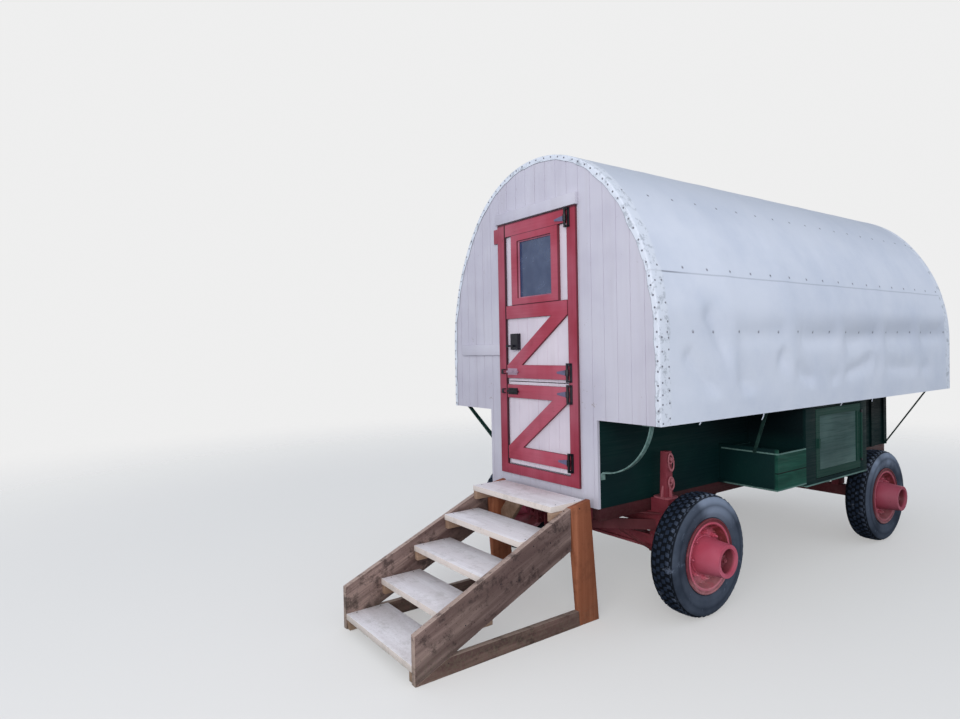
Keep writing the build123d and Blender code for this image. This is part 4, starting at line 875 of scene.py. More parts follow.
# %% Finishes for the CAD nodes
FINISHES = {
    white_wall: ("front_wall", "rear_wall"),
    white_door: ("upper_leaf", "lower_leaf"),
    box_green: ("box_walls", "overhang_deck"),
    floor_wood: ("floor",),
    bow_wood: ("bows",),
    cabinet_green: ("cabinet_door_right", "cabinet_door_left"),
    black_iron: ("hinge_plates", "upper_hardware", "lower_hardware"),
    overhang_iron: ("overhang_irons",),
    ring_iron: ("stake_rings",),
    red_iron: ("front_axle", "knuckle_left", "knuckle_right", "tie_rod"),
    shaded_iron: ("rear_axle", "front_hounds"),
    glass: ("upper_glass", "rear_window_glass"),
    wheel_iron: [f"wheel_{end}_{side}" for end in ("front", "rear") for side in ("right", "left")],
}
for material, names in FINISHES.items():
    for name in names:
        for place_in_list in nodes[name].material_slots:
            place_in_list.material = material
print("finished nodes", sum(len(names) for names in FINISHES.values()))

# %% [markdown]
# ## The cloth top
# The top is one sheet of canvas, sewn from widths, laid over the bows, turned over the
# edge of each end wall and tacked. It is modelled flat first: a grid as long as the wagon
# and as wide as the girth over the top. Each point of the grid is then laid on the arch,
# which is how the cloth itself was hung. The arch is three arcs: two flanks and a crown
# of another radius.

# %% The arch that the cloth follows
wall_low, wall_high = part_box("front_wall")
top_low, top_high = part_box("canopy")
front_face = wall_low.y
rear_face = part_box("rear_wall")[1].y
half_width = top_high.x
spring_z = 1.710
arch_ease = 0.3273
rise = top_high.z - spring_z
crown_radius = half_width**2 / rise * (rise / half_width) ** arch_ease
flank_radius = half_width**2 + rise**2 - 2 * rise * crown_radius
flank_radius /= 2 * (half_width - crown_radius)
flank_x = half_width - flank_radius
crown_z = top_high.z - crown_radius
meet = math.atan2(rise - crown_radius, -flank_x)
straight = spring_z - top_low.z
flank_run = flank_radius * meet
crown_run = crown_radius * (math.pi - 2 * meet)
girth = 2 * (straight + flank_run) + crown_run


def on_arch(along):
    """Place and outward normal, in X and Z, at a distance along the arch from the right hem."""
    if along > girth / 2:
        return [Vector((-pair[0], pair[1])) for pair in on_arch(girth - along)]
    if along < straight:
        return Vector((half_width, top_low.z + along)), Vector((1.0, 0.0))
    middle, radius, angle = (flank_x, spring_z), flank_radius, (along - straight) / flank_radius
    if angle > meet:
        middle, radius = (0.0, crown_z), crown_radius
        angle = meet + (along - straight - flank_run) / crown_radius
    out = Vector((math.cos(angle), math.sin(angle)))
    return Vector(middle) + radius * out, out


def arch_run(height):
    """Distance along the arch from the right hem up to a height on the right side."""
    low, high = 0.0, girth / 2
    for _ in range(40):
        middle = (low + high) / 2
        if on_arch(middle)[0][1] < height:
            low = middle
        else:
            high = middle
    return low


print("girth", round(girth, 3), "m")

# %% [markdown]
# ### Slack in the cloth
# The cloth lies on five bows and on a plate along each side, and between them it hangs
# a little slack. Everything points inwards, because the bows hold the cloth from inside
# and nothing pushes it out. A fold is a soft valley along a line on the cloth, deepest
# on the line and gone a hand's width away from it: two slant down behind the front
# corner, two make a V further back, a shallow one slants down behind the V, and a long
# hollow follows the lowest row of tacks. Each tack also pulls a dimple in the cloth.

# %% Where the cloth sinks
cloth_length = rear_face - front_face
wall = wall_high.y - wall_low.y
bays = 6
bay = (cloth_length - 2 * wall) / bays
plate_run = arch_run(1.36)
seam_run = arch_run(2.13)
tack_rows = [arch_run(z) for z in (1.775, 2.16, 2.64)]
tack_spacing = 0.24
first_tack = 0.07
# distance back and height where a valley starts and where it ends, half width and depth
FOLD_LINES = (
    (0.28, 1.62, 0.50, 1.38, 0.055, 0.026),
    (0.50, 1.86, 0.88, 1.38, 0.065, 0.032),
    (1.32, 1.60, 1.66, 1.42, 0.060, 0.032),
    (2.02, 1.41, 2.60, 1.53, 0.060, 0.026),
    (0.80, 1.76, 1.70, 1.75, 0.070, 0.018),
    (1.60, 1.74, 4.05, 1.76, 0.085, 0.032),
    (2.80, 1.52, 3.70, 1.42, 0.070, 0.018),
)
folds = [
    (Vector((back_1, arch_run(z_1))), Vector((back_2, arch_run(z_2))), reach, deep)
    for back_1, z_1, back_2, z_2, reach, deep in FOLD_LINES
]


# how near a bow, a side plate or a tack holds the cloth, and how far the crown's slack goes
bow_hold, plate_hold, tack_hold, crown_reach = 0.085, 0.10, 0.022, 1.2
# the deepest fold, the crown's slack, its unevenness, the ripples and a tack's dimple
deepest, slack, uneven, ripples, dimple = 0.030, 0.005, 0.004, 0.0011, 0.0008


def clamp(share):
    """A share held between 0 and 1."""
    return min(1.0, max(0.0, share))


def bell(distance, reach):
    """1 at no distance, falling softly to nothing past the reach."""
    return math.exp(-((distance / reach) ** 2))


def from_line(spot, start, end):
    """Distance from a point of the flat cloth to a straight line between two others."""
    along = end - start
    share = clamp((spot - start).dot(along) / along.length_squared)
    return (spot - start - share * along).length


def sink(along, back):
    """How far the cloth lies inside the full arch, in metres, at a place on it."""
    run = min(along, girth - along)
    side = 1.0 if along < girth / 2 else -1.0
    in_bay = min(max((back - wall) / bay, 0.0), float(bays)) % 1.0
    between_bows = 1.0 - bell(min(in_bay, 1.0 - in_bay) * bay, bow_hold)
    above_plate = clamp((run - plate_run) / plate_hold)
    crown = clamp((girth / 2 - run) / crown_reach)
    wander = 0.5 * noise.noise(Vector((back * 2.4, run * 2.4, 5.0 * side)))
    depth = slack * crown + uneven * max(0.0, wander)
    if run < seam_run:
        spot = Vector((back + 0.08 * wander, run + 0.10 * wander))
        valley = max(
            deep * bell(from_line(spot, start, end), reach) for start, end, reach, deep in folds
        )
        depth += min(deepest, valley * (0.9 + 0.5 * wander))
    depth *= between_bows * above_plate
    ripple = 0.5 + 0.5 * noise.noise(Vector((back * 7.0, run * 3.0, 9.0 * side)))
    depth += ripples * ripple
    nearest = ((back - first_tack) / tack_spacing + 0.5) % 1.0 - 0.5
    for row in tack_rows:
        depth += dimple * bell(math.hypot(nearest * tack_spacing, run - row), tack_hold)
    return depth


# %% [markdown]
# ### Laying the grid on the arch
# The grid has closer rows at the two ends, where the cloth turns over the wall, and
# close columns at the seam, where the upper width laps over the lower one and makes a
# small step. Points past the end of the wagon lie on the face of the wall and run in
# towards its middle. The edge on the wall was cut by hand, so it wanders a little.

# %% The cloth
def spread(stops):
    """Places from a table of stretches: from, to and number of steps."""
    places = []
    for start, end, steps in stops:
        places += [start + (end - start) * i / steps for i in range(steps)]
    return places + [stops[-1][1]]


# the width turned over a wall, the layer that the cloth lies in, the step at the seam
lap, stand, seam = 0.052, 0.003, 0.0012
# how near the seam and the ends the grid is closer
near_seam, near_end = 0.02, 0.03
# the rounded edge at each end, and the gap to the wall
edge_reach, edge_drop, wall_gap = 0.008, 0.0012, 0.0004
low_seam, high_seam = seam_run - near_seam, seam_run + near_seam
half_runs = spread(((0.0, low_seam, 46), (low_seam, high_seam, 12), (high_seam, girth / 2, 40)))
runs = half_runs + [girth - run for run in reversed(half_runs[:-1])]
stops = (-lap, 0.0, near_end, cloth_length - near_end, cloth_length, cloth_length + lap)
backs = spread(list(zip(stops, stops[1:], (6, 4, 190, 4, 6))))


def cloth_point(along, back):
    """Where a point of the flat cloth lies on the wagon."""
    spot, out = on_arch(along)
    on_roof = min(max(back, 0.0), cloth_length)
    past = abs(back - on_roof)
    depth = sink(along, on_roof) + stand / 2
    run = min(along, girth - along)
    if run < seam_run:
        depth += seam
    pucker = 0.0
    if past:
        ragged = 0.72 + 0.30 * noise.noise(Vector((along * 7.0, 0.0, 2.0)))
        ragged += 0.12 * noise.noise(Vector((along * 38.0, 0.0, 4.0)))
        depth = stand / 2 + past * ragged
        pucker = 0.006 * max(0.0, noise.noise(Vector((along * 17.0, past * 22.0, 6.0))))
    from_edge = min(abs(back), abs(cloth_length - back))
    depth += edge_drop * max(0.0, 1.0 - from_edge / edge_reach)
    spot = spot - out * depth
    end = -1.0 if back < cloth_length / 2 else 1.0
    y = front_face + on_roof + (end * (stand / 2 + wall_gap + pucker) if past else 0.0)
    return Vector((spot[0], y, spot[1]))


columns, rows = len(runs) - 1, len(backs) - 1
cloth = add_primitive("grid", "canvas_top", size=1.0, x_subdivisions=columns, y_subdivisions=rows)
for vertex in cloth.data.vertices:
    column, row = round((vertex.co.x + 0.5) * columns), round((vertex.co.y + 0.5) * rows)
    vertex.co = cloth_point(runs[column], backs[row])
for item in cloth.data.uv_layers.active.data:
    item.uv = runs[round(item.uv[0] * columns)], backs[round(item.uv[1] * rows)]
modify(cloth, "SOLIDIFY", thickness=stand * 0.6, offset=0.0)
smooth(cloth, 60)
print("cloth points", len(cloth.data.vertices))

# %% [markdown]
# ### The canvas finish
# The cloth is off-white with a blue cast from the sky. Painted shade makes it a little darker
# and greyer over the crown, along the hollow by the lowest tacks, at the seam and along its edges.

# %% Canvas
canvas, shader, place = new_finish("off_white_canvas", Specular_IOR_Level=0.2, Sheen_Weight=0.15)
flat = put(place.tree, "TexCoord")["UV"]
weave = put(place.tree, "Group", {"Vector": flat, "Threads": 160.0}, node_tree=weave_group)
axes = xyz(flat)
from_crown = abs(axes[0] - girth / 2)
from_hollow = abs(from_crown - (girth / 2 - arch_run(1.82)))
colour = coat(
    mixed(ramp(weave["Stain"], 0.35, 0.72), (222, 225, 235), (208, 213, 226)),
    (ramp(weave["Slub"], 0.2, 0.36) * 0.25, (220, 224, 232)),
    # painted shade over the crown, and along the hollow by the lowest tacks
    (ramp(from_crown, 1.20, 0.3) * 0.7, (172, 178, 190)),
    (ramp(from_hollow, 0.15, 0.02) * ramp(axes[1], 1.2, 2.6, 0.15, 0.5), (180, 184, 196)),
)
# a rust-grey mark round each tack
from_hem = maths("MINIMUM", axes[0], girth - axes[0])
in_row = maths("FRACT", (axes[1] - (first_tack - tack_spacing / 2)) / tack_spacing)
from_tack = (in_row - 0.5) * tack_spacing
for row in tack_rows:
    off_row = from_hem - row
    distance = maths("SQRT", from_tack * from_tack + off_row * off_row)
    colour = mixed(ramp(distance, 0.016, 0.005, 0.0, 0.45), colour, (112, 112, 128))
# painted shade along the seams, darkest near the front corners, where the lap stands a little open
seam_shade = ramp(axes[1], 0.40, 0.15, 0.3, 0.8)
for centre in (seam_run - 0.004, girth - seam_run + 0.004):
    near = ramp(abs(axes[0] - centre), 0.007, 0.002)
    colour = mixed(near * seam_shade, colour, (118, 122, 134))
# both ends were sized with white paint, which has gone blotchy round the tacks
to_end = cloth_length / 2 - abs(axes[1] - cloth_length / 2)
band = ramp(to_end + clouds(flat, 6.0, 3.0) * -0.09, 0.060, 0.030)
colour = coat(
    colour,
    (band * 0.8, (226, 229, 237)),
    (band * ramp(clouds(flat, 17.0, 5.0, 0.75), 0.50, 0.62, 0.0, 0.6), (152, 157, 164)),
    # a painted shadow along the cut edge on the wall
    (ramp(to_end, 0.005 - lap, 0.001 - lap) * 0.7, (92, 90, 100)),
)
relief = weave["Height"] * 0.3 + weave["Slub"]
wire(shader, colour, ramp(weave["Slub"], 0.15, 0.4, 0.7, 0.85), relief, 0.25, 0.0008)
dress(cloth, "wagon", "canvas", canvas, "canopy")

# %% [markdown]
# ### Tie ends
# Short ends of tape hang below the hem, where the cloth was tied down before it was
# tacked. Each is a narrow strip with a bend in it.

# %% Tie ends at the hem
tie_wide, tie_thick = 0.011, 0.0012
tie_top = top_low.z + 0.006
upright = (math.pi / 2, 0, math.pi / 2)
# distance back and length
TIES = (0.36, 0.024), (1.04, 0.048), (2.12, 0.028), (2.64, 0.030)
ties = []
for number, (back, length) in enumerate(TIES):
    for side in (1, -1):
        spot = (side * (half_width - 0.006), front_face + back, tie_top - length / 2)
        tie = add_primitive("plane", "tie_end", spot, (tie_wide, length, 1.0), upright, size=1.0)
        open_edit(tie, "FACE")
        bpy.ops.mesh.subdivide(number_cuts=5)
        close_edit()
        for vertex in tie.data.vertices:
            fall = (tie_top - vertex.co.z) / length
            vertex.co.y += 0.008 * math.sin(3.0 * fall + number)
            vertex.co.x -= side * 0.006 * fall**2
        modify(tie, "SOLIDIFY", thickness=tie_thick, offset=0.0)
        ties.append(tie)
tie_ends = join(ties, "tie_ends")
dress(tie_ends, "wagon", "canvas", canvas)
print("cloth declared", round(girth, 3), "by", round(cloth_length + 2 * lap, 3), "m")

# %% [markdown]
# ## Tyres
# The tyre is a section spun round the axle, which is how a mould is turned. The section
# is drawn point by point: one vertex is placed at the bead and extruded along the
# sidewall, over the shoulder and down the other side. The tread blocks are modelled
# once, rounded, and repeated round the wheel by an Array modifier that turns each copy.

# %% Sections spun round the wheel
# Spin leaves its faces in an order that changes from run to run. From a place off every
# axis each face has a distance of its own, and sorting by it gives one fixed order.
sort_from = (0.31, 0.47, 0.59)


def spun(name, section, steps):
    """A section, given as offsets along X and radii, spun round the X axis at the origin."""
    piece = add_primitive("plane", name, size=0.01)
    open_edit(piece, "VERT")
    bpy.ops.mesh.merge(type="CENTER")
    last = Vector((0, 0, 0))
    for offset, radius in section:
        spot = Vector((offset, 0, radius))
        if last.length == 0:
            bpy.ops.transform.translate(value=spot)
        else:
            bpy.ops.mesh.extrude_region_move(TRANSFORM_OT_translate={"value": spot - last})
        last = spot
    bpy.ops.mesh.select_all(action="SELECT")
    bpy.ops.mesh.spin(steps=steps, angle=2 * math.pi, center=(0, 0, 0), axis=(1, 0, 0))
    bpy.ops.mesh.select_all(action="SELECT")
    bpy.context.scene.cursor.location = sort_from
    bpy.ops.mesh.sort_elements(type="CURSOR_DISTANCE", elements={"VERT", "EDGE", "FACE"})
    close_edit()
    face_outwards(piece)
    return piece


def ring_of(piece, count):
    """Repeats a piece round the X axis at the origin."""
    turner = bpy.data.objects.new("turner", None)
    bpy.context.scene.collection.objects.link(turner)
    turner.rotation_euler = (2 * math.pi / count, 0, 0)
    bpy.context.view_layer.update()
    offset = {"use_relative_offset": False, "use_object_offset": True, "offset_object": turner}
    modify(piece, "ARRAY", count=count, **offset)
    bpy.data.objects.remove(turner)


# offsets from the tyre's middle and radii, from bead to crown
FLANK = (
    (0.070, 0.2035), (0.0752, 0.2045), (0.0752, 0.238), (0.079, 0.243), (0.084, 0.262),
    (0.0875, 0.268), (0.0875, 0.274), (0.0895, 0.290), (0.0915, 0.316), (0.0900, 0.338),
    (0.0865, 0.353), (0.079, 0.3650), (0.062, 0.3722), (0.032, 0.3762),
)
section = [*FLANK, (0.0, 0.3772), *[(-x, radius) for x, radius in reversed(FLANK)]]
section += [(-0.060, 0.2035), (0.060, 0.2035), section[0]]
carcass = spun("tyre_carcass", section, 96)
smooth(carcass, 40)
print("carcass faces", len(carcass.data.polygons))

# %% [markdown]
# ### Tread blocks
# The tread is a country pattern: a row of small blocks on each side of the middle, a row
# of wider ones beside them, and on each shoulder a lug that runs over the edge onto the
# sidewall. A row is one block repeated round the wheel. The rows are set half a pitch
# apart, so that the tyre always has rubber on the road.

# %% Tread blocks and shoulder lugs
def block(name, x_from, x_to, length, skew, tops, root):
    """A block on top of the wheel, from an inner to an outer place along X with their tops."""
    middle = ((x_from + x_to) / 2, 0, (tops[0] + root) / 2)
    width = abs(x_to - x_from)
    piece = add_primitive("cube", name, middle, (width, length, tops[0] - root), size=1.0)

    def outer(vertex):
        return abs(vertex.co.x - x_to) < width / 20

    push(piece, (0, skew, 0), outer)
    push(piece, (0, 0, tops[1] - tops[0]), lambda v: outer(v) and v.co.z > middle[2])
    open_edit(piece, "FACE", lambda face: face.normal.z > 0.5)
    centre = (middle[0], skew / 2, middle[2])
    bpy.ops.transform.resize(value=(0.90, 0.86, 1.0), center_override=centre)
    close_edit()
    bevel(piece, 0.002)
    return piece


blocks_round = 48
pitch = 2 * math.pi * tyre_radius / blocks_round
# name, from and to along X, length, skew, heights of the top below the crown, root, phase
ROWS = (
    ("inner_block", 0.003, 0.028, 0.62, 0.005, (0.0, 0.0005), 0.369, 0.0),
    ("outer_block", 0.033, 0.060, 0.58, -0.005, (0.0008, 0.0044), 0.363, 0.5),
    ("shoulder_lug", 0.064, 0.0845, 0.56, 0.003, (0.0058, 0.0215), 0.345, 0.0),
)
tread = []
for side in (1, -1):
    for name, x_from, x_to, share, skew, drops, root, phase in ROWS:
        tops = [tyre_radius - drop for drop in drops]
        piece = block(name, side * x_from, side * x_to, pitch * share, side * skew, tops, root)
        turn = (phase + (0.5 if side < 0 else 0.0)) * 2 * math.pi / blocks_round
        piece.data.transform(Matrix.Rotation(turn, 4, "X"))
        ring_of(piece, blocks_round)
        tread.append(piece)
tyre_pattern = join([carcass, *tread], "tyre_pattern")
face_outwards(tyre_pattern)
smooth(tyre_pattern, 38)
print("one tyre", len(tyre_pattern.data.polygons), "faces")

# %% Four tyres
WHEELS = (
    ("front_right", 1, front_axle_y),
    ("front_left", -1, front_axle_y),
    ("rear_right", 1, rear_axle_y),
    ("rear_left", -1, rear_axle_y),
)
for corner, side, axle_y in WHEELS:
    place_tyre = Matrix.Translation((side * tyre_x, axle_y, axle_z))
    twist = Matrix.Rotation(math.radians(17 * len(corner)), 4, "X")
    tyre = copy_to(tyre_pattern, "tread_" + corner, place_tyre @ twist)
    dress(tyre, "wheel_" + corner, "rubber", rubber, "tyre_" + corner)
remove(tyre_pattern)

# %% [markdown]
# ## Wheel details
# The rims are of the kind with a loose ring that locks the tyre on, so two rounded lips
# run round the face of each one. Studs stand out of the eight wheel nuts, rivets hold the
# disc to the rim, and a valve stem comes through near the edge. They are modelled on one
# wheel about the origin, and that set is copied to the four corners.

# %% Helpers for heads, rings and the four corners
def dome(name, radius, height, sides=10):
    """A shallow round head that lies on the XY plane, with its top towards +Z."""
    drum = {"vertices": sides, "radius": radius, "depth": height / 2}
    piece = add_primitive("cylinder", name, at=(0, 0, height / 4), **drum)
    open_edit(piece, "FACE", lambda face: face.normal.z > 0.9)
    bpy.ops.mesh.inset(thickness=radius * 0.35, depth=height * 0.35)
    bpy.ops.mesh.inset(thickness=radius * 0.35, depth=height * 0.15)
    close_edit()
    smooth(piece, 50)
    return piece


def scatter(pattern, name, places):
    """Copies of a pattern at points, each turned so that its top faces along a normal."""
    copies = []
    for number, (point, normal) in enumerate(places):
        turn = Vector(normal).to_track_quat("Z", "Y").to_matrix().to_4x4()
        copies.append(copy_to(pattern, f"{name}_{number}", Matrix.Translation(point) @ turn))
    remove(pattern)
    return join(copies, name)


def round_lip(name, x, radius, thickness):
    """A rounded ring about the X axis."""
    sides, steps = 10, 72
    turns = [2 * math.pi * i / sides for i in range(sides + 1)]
    section = [(x + thickness * math.cos(a), radius + thickness * math.sin(a)) for a in turns]
    lip = spun(name, section, steps)
    smooth(lip, 60)
    return lip


def around(count, radius, x, phase=0.0):
    """Places and normals round the X axis, facing +X."""
    angles = [2 * math.pi * (i + phase) / count for i in range(count)]
    return [((x, radius * math.cos(a), radius * math.sin(a)), (1, 0, 0)) for a in angles]


def to_corners(pattern, label, height, finish, body=None):
    """Copies a pattern to the right and left ends of both axles, dresses and removes it."""
    for corner, side, axle_y in WHEELS:
        place = Matrix.Translation((0, axle_y, height)) @ Matrix.Scale(side, 4, (1, 0, 0))
        piece = copy_to(pattern, label + corner, place)
        dress(piece, body or "wheel_" + corner, "red_iron", finish)
    remove(pattern)


# %% Lips, studs, rivets and valve stem
disc_x = 0.905
nut_end_x = disc_x + 0.020
# place along X, radius and thickness
LIPS = {
    "outer_lip": (0.958, 0.2290, 0.0055),
    "lock_lip": (0.957, 0.2030, 0.0050),
    "hub_lip": (1.0815, 0.0885, 0.0032),
    "hub_collar": (0.909, 0.1190, 0.0060),
}
lips = [round_lip(name, *measures) for name, measures in LIPS.items()]
studs = scatter(dome("stud", 0.0085, 0.022, 12), "studs", around(8, 0.144, nut_end_x))
rivets = scatter(dome("rivet", 0.0075, 0.008, 12), "rivets", around(20, 0.172, disc_x, 0.5))
STEM = (
    (0.0, 0.0001), (0.0, 0.0075), (0.010, 0.0062), (0.024, 0.0050),
    (0.025, 0.0062), (0.036, 0.0062), (0.038, 0.0001),
)
stem = spun("valve_stem", STEM, 12)
smooth(stem, 40)
stem.data.transform(Matrix.Translation((disc_x, 0, 0.158)))
wheel_set = join([*lips, studs, rivets, stem], "wheel_set")
to_corners(wheel_set, "wheel_details_", axle_z, wheel_iron)

# %% Axle nuts in the hubs
def axle_nut():
    """A castle nut on the axle's end, with its washer, about the X axis."""
    drum = {"vertices": 6, "radius": 0.034, "depth": 0.032}
    nut = add_primitive("cylinder", "axle_nut", (1.034, 0, 0), turn=(0, math.pi / 2, 0), **drum)
    open_edit(nut, "FACE", lambda face: face.normal.x > 0.9)
    bpy.ops.mesh.inset(thickness=0.006, depth=0.003)
    bpy.ops.mesh.inset(thickness=0.010, depth=0.0)
    bpy.ops.mesh.extrude_region_move(TRANSFORM_OT_translate={"value": (0.014, 0, 0)})
    bpy.ops.mesh.inset(thickness=0.004, depth=-0.004)
    close_edit()
    bevel(nut, 0.0012)
    washer = round_lip("washer", 1.018, 0.040, 0.004)
    cup = round_lip("bearing_cup", 1.019, 0.066, 0.005)
    return join([nut, washer, cup], "axle_nut")


to_corners(axle_nut(), "axle_nut_", axle_z, wheel_iron)

# %% [markdown]
# ## Stake feet and links
# Each bolster carries an upright stake at either end. It stands in a cast foot with three
# ribs, and long loose links hang on its outer face for ropes and chains. The foot is a
# plate with rounded corners and wedges for ribs. The link is a round section swept along
# an oval, which a torus gives once it is stretched in height.

# %% A foot and two links at each stake
stake_foot_z = 0.690
stake_outer_x = 0.662
foot_inner_x = 0.562
foot_outer_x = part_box("front_bolster")[1].x - 0.002
foot_wide, foot_thick = 0.126, 0.012
# place and turn of each rib; height and half height of each link
RIBS = ((0.637, 0.038), 0.0), ((0.637, -0.038), math.pi), ((stake_outer_x, 0.0), -math.pi / 2)
LINKS = (0.930, 0.054), (0.792, 0.040)
link_radius = 0.027
link_sides = {"minor_radius": 0.0042, "major_segments": 28, "minor_segments": 8}


def stake_fittings():
    """The cast foot with its ribs and the two links of a right stake."""
    middle = ((foot_inner_x + foot_outer_x) / 2, 0, stake_foot_z + foot_thick / 2)
    sizes = (foot_outer_x - foot_inner_x, foot_wide, foot_thick)
    foot = add_primitive("cube", "foot", middle, sizes, size=1.0)
    open_edit(foot, "EDGE", lambda edge: abs(edge.verts[0].co.z - edge.verts[1].co.z) > 0.005)
    bpy.ops.mesh.bevel(offset=0.034, segments=6)
    close_edit()
    bevel(foot, 0.003, 2, 40)
    parts = [foot]
    for (x, y), turn in RIBS:
        rib = add_primitive("cube", "rib", (0, 0.010, 0.045), (0.012, 0.024, 0.078), size=1.0)
        push(rib, (0, -0.018, 0), lambda v: v.co.z > 0.05 and v.co.y > 0.01)
        bevel(rib, 0.002, 2)
        place = Matrix.Translation((x, y, stake_foot_z))
        rib.data.transform(place @ Matrix.Rotation(turn, 4, "Z"))
        parts.append(rib)
    for centre_z, half_height in LINKS:
        link = add_primitive("torus", "link", major_radius=link_radius, **link_sides)
        lean = Matrix.Rotation(math.radians(-5), 4, "Y") @ Matrix.Rotation(math.pi / 2, 4, "Y")
        tall = Matrix.Scale(half_height / link_radius, 4, (1, 0, 0))
        place = Matrix.Translation((stake_outer_x + 0.015, 0, centre_z))
        link.data.transform(place @ lean @ tall)
        smooth(link, 60)
        parts.append(link)
    fittings = join(parts, "fittings")
    smooth(fittings, 40)
    return fittings


to_corners(stake_fittings(), "stake_fittings_", 0, ring_iron, "wagon")

# %% [markdown]
# ## Glazing bead
# The pane in the upper door is held by a thin bead round the inside of its frame, worn
# paler than the frame. It is a narrow sloping strip on each side, mitred at the corners:
# a flat frame is made by insetting a plane, and its inner edge is pushed back.

# %% The bead round the door's pane
pane_low_z, pane_high_z, pane_half = 2.053, 2.459, 0.178
bead_wide = 0.009
bead_push = 0.006
middle = (0, front_face - 0.012, (pane_low_z + pane_high_z) / 2)
sizes = (2 * pane_half, pane_high_z - pane_low_z, 1.0)
bead = add_primitive("plane", "glazing_bead", middle, sizes, (math.pi / 2, 0, 0), size=1.0)
open_edit(bead, "FACE", lambda face: True)
bpy.ops.mesh.inset(thickness=bead_wide, depth=0.0)
bpy.ops.mesh.delete(type="FACE")
close_edit()
inner = bead_wide / 4
push(
    bead,
    (0, bead_push, 0),
    lambda v: abs(v.co.x) < pane_half - inner and pane_low_z + inner < v.co.z < pane_high_z - inner,
)
modify(bead, "SOLIDIFY", thickness=0.004, offset=-1.0)
face_outwards(bead)
# paint, faded paint and what shows under it
BEAD = (160, 84, 106), (190, 124, 140), (110, 60, 76)
bead_paint = painted_board("bead_paint", "z", *BEAD, 0.2)
dress(bead, "upper_door", "red_paint", bead_paint)

# %% [markdown]
# ## Tacks
# Broad-headed tacks hold the cloth: three rows along each side, a row round each end on
# the part that is turned over the wall, and a few more behind the front corner. A tack
# head is a shallow dome. One is modelled from a short cylinder whose top is inset and
# raised, and it is copied along the rows.

# %% A tack head and its rows
tack_proud = 0.0008
on_lap = 0.022
random.seed(7)


def nailed(along, back, end=0):
    """Place and normal of a head on the cloth; end is -1 or 1 on the wall at that end."""
    out = on_arch(along)[1]
    normal = (0, end, 0) if end else (out[0], 0, out[1])
    return cloth_point(along, back) + Vector(normal) * tack_proud, normal


tack_places = []
for side in (1, -1):
    for row in tack_rows:
        for number in range(int((cloth_length - 0.1) / tack_spacing) + 1):
            back = first_tack + number * tack_spacing + random.uniform(-0.003, 0.003)
            along = row + random.uniform(-0.004, 0.004)
            tack_places.append(nailed(along if side > 0 else girth - along, back))
for end in (-1, 1):
    along = 0.03
    while along < girth - 0.02:
        tack_places.append(nailed(along, -on_lap if end < 0 else cloth_length + on_lap, end))
        along += random.uniform(0.055, 0.085)
tacks = scatter(dome("tack", 0.0062, 0.0024), "canvas_tacks", tack_places)
dress(tacks, "wagon", "dark_iron", tack_iron)

# %% Larger nails behind the front corner
NAIL_HEIGHTS = (1.27, 1.36, 1.43, 1.50, 1.58, 1.66, 1.75, 1.84, 1.95, 2.08)
nail_places = []
for side in (1, -1):
    for height in NAIL_HEIGHTS:
        for back in (0.018, 0.078):
            run = arch_run(height + random.uniform(-0.015, 0.015))
            nail_places.append(nailed(run if side > 0 else girth - run, back))
corner_nails = scatter(dome("corner_nail", 0.0058, 0.0024), "canvas_nails", nail_places)
dress(corner_nails, "wagon", "dark_iron", tack_iron)

# %% [markdown]
# ## Screws and nails
# Fasteners are what tells the eye how large a thing is. Screws hold the door's hinges,
# and nails go through the side boards and the treads of the steps. One slotted head and
# one nail head are modelled and copied to where the real ones sit.

# %% A slotted screw head
def slotted_head(name, radius, height):
    """A domed head with a slot cut across it."""
    piece = dome(name, radius, height, 16)
    open_edit(
        piece,
        "FACE",
        lambda face: face.normal.z > 0.95 and face.calc_center_median().length < radius * 0.5,
    )
    bpy.ops.mesh.inset(thickness=radius * 0.12, depth=-height * 0.3)
    close_edit()
    return piece


leaf_low, leaf_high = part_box("lower_leaf")
upper_low, upper_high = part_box("upper_leaf")
half_ledge = 0.095 / 2
lower_hinge_zs = (leaf_low.z + 0.034 + half_ledge, leaf_high.z - 0.020 - half_ledge)
upper_hinge_zs = (upper_low.z + 0.020 + half_ledge, upper_high.z - 0.018 - half_ledge)
iron_face_y = front_face - 0.024
# X, and height from the middle of the hinge
LEAF_SCREWS = (0.295, 0.011), (0.295, -0.011), (0.262, 0.0), (0.232, 0.0)
PLATE_SCREWS = (0.348, -0.028), (0.348, 0.0), (0.348, 0.028)
for name, body, zs, spots in (
    ("lower_door_screws", "lower_door", lower_hinge_zs, LEAF_SCREWS),
    ("upper_door_screws", "upper_door", upper_hinge_zs, LEAF_SCREWS),
    ("hinge_plate_screws", "wagon", lower_hinge_zs + upper_hinge_zs, PLATE_SCREWS),
):
    places = [((x, iron_face_y, z + up), (0, -1, 0)) for z in zs for x, up in spots]
    screws = scatter(slotted_head("screw", 0.0042, 0.0022), name, places)
    dress(screws, body, "dark_iron", black_iron)


# %% Nails in the steps
step_low, step_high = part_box("step_treads")
board_low, board_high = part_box("step_stringers")
tread_count, tread_run, tread_rise, first_tread_z = 5, 0.240, 0.163, 0.097
nail_places = []
for number in range(tread_count):
    y = step_low.y + number * tread_run
    z = first_tread_z + number * tread_rise
    for x, normal in ((board_high.x, 1), (board_low.x, -1)):
        for back, drop in ((0.07, 0.016), (0.20, 0.022)):
            if number or back > 0.1:
                nail_places.append(((x, y + back, z - drop - 0.012), (normal, 0, 0)))
    for x in (step_low.x + 0.024, step_high.x - 0.024):
        for back in (0.06, 0.22):
            nail_places.append(((x, y + back, z), (0, 0, 1)))
nails = scatter(dome("nail", 0.0042, 0.0014, 8), "step_nails", nail_places)
dress(nails, "wagon", "dark_iron", black_iron)

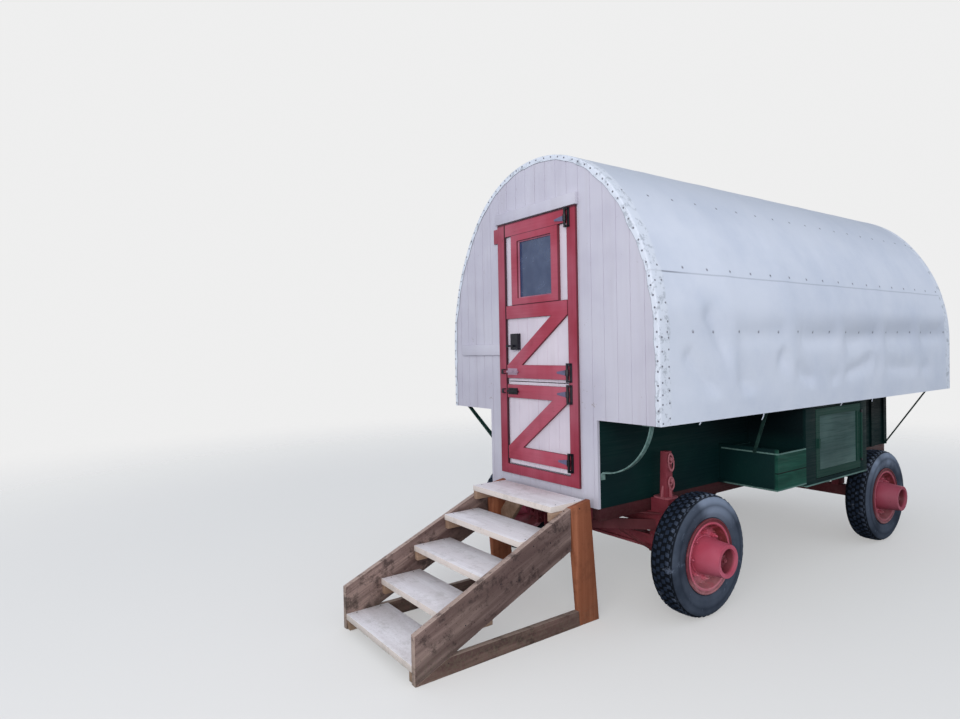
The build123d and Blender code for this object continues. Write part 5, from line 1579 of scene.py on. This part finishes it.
# %% [markdown]
# ## Light, floor and camera
# The wagon stood under a bright overcast sky, so a pale world lights it evenly and one
# large soft lamp gives the cloth and boards their direction. The camera stands where the
# photograph was taken, near the front right corner at eye height, with a wide lens.

# %% The floor
deselect()
circle = {"vertices": 96, "radius": 30.0, "fill_type": "NGON"}
bpy.ops.mesh.primitive_circle_add(location=(0, 0, -0.001), **circle)
floor = bpy.context.object
floor.name = "studio_floor"
floor_paint, shader, place = new_finish("studio_floor_paint", Roughness=0.9, Specular_IOR_Level=0.1)
rays = put(place.tree, "LightPath")
# pale to the camera, as dark as ground to the light that it throws back up
colour = mixed(rays["Is Camera Ray"], (0.16, 0.17, 0.16, 1.0), (0.96, 0.93, 0.89, 1.0))
feed(colour, shader.inputs["Base Color"])
far = put(place.tree, "VectorMath", {0: place}, operation="LENGTH")["Value"]
fade = ramp(far, 4.0, 12.0, 1.0, 0.0)
feed(blended(rays["Is Camera Ray"], fade, fade * 0.6), shader.inputs["Alpha"])
floor.data.materials.append(floor_paint)
floor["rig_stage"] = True

# %% The world and the lamp
scene = bpy.context.scene
scene.view_settings.view_transform = "Standard"
world = bpy.data.worlds.new("overcast_sky")
world.use_nodes = True
scene.world = world
backdrop = world.node_tree.nodes["Background"]
rays = put(world.node_tree, "LightPath")
seen = maths("MAXIMUM", rays["Is Camera Ray"], rays["Is Transmission Ray"])
seen = maths("MAXIMUM", seen, rays["Is Glossy Ray"])
feed(mixed(seen, (0.80, 0.88, 1.0, 1.0), (1.0, 1.0, 1.0, 1.0)), backdrop.inputs["Color"])
# the sky above is dimmer than the open sky beside the wagon
towards = xyz(put(world.node_tree, "TexCoord")["Generated"])[2]
dome_light = ramp(towards, 0.1, 0.7, 1.18, 0.56)
feed(blended(seen, dome_light, 0.86), backdrop.inputs["Strength"])

lamp = bpy.data.lights.new("soft_lamp", "AREA")
lamp.shape = "DISK"
lamp.size = 6.0
lamp.energy = 310.0
lamp.color = (1.0, 0.98, 0.97)
lamp_stand = bpy.data.objects.new("soft_lamp", lamp)
scene.collection.objects.link(lamp_stand)
lamp_stand.location = (5.2, -7.8, 3.6)
aim = Vector((0, 0, 1.2)) - lamp_stand.location
lamp_stand.rotation_euler = aim.to_track_quat("-Z", "Y").to_euler()

# %% The camera
camera = bpy.data.cameras.new("camera")
camera.sensor_width = 36.0
camera.lens = 23.58
eye = bpy.data.objects.new("camera", camera)
scene.collection.objects.link(eye)
yaw, pitch, roll = (math.radians(a) for a in (54.3838, 0.8239, -1.1242))
level = Vector((math.cos(yaw), math.sin(yaw), 0.0))
ahead = Vector((-math.sin(yaw), math.cos(yaw), 0.0))
forward = ahead * math.cos(pitch) - Vector((0.0, 0.0, math.sin(pitch)))
upward = level.cross(forward)
right = level * math.cos(roll) + upward * math.sin(roll)
up = upward * math.cos(roll) - level * math.sin(roll)
stand_point = Vector((3.2999, front_face - 2.8547, 1.6883))
axes = Matrix((right, up, -forward)).transposed().to_4x4()
eye.matrix_world = Matrix.Translation(stand_point) @ axes
scene.camera = eye
print("camera at", [round(v, 3) for v in stand_point])

# %% The size of the dressed model
sizes = {"cad": [list(corner) for corner in cad_box], "visual": [list(corner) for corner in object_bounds()]}
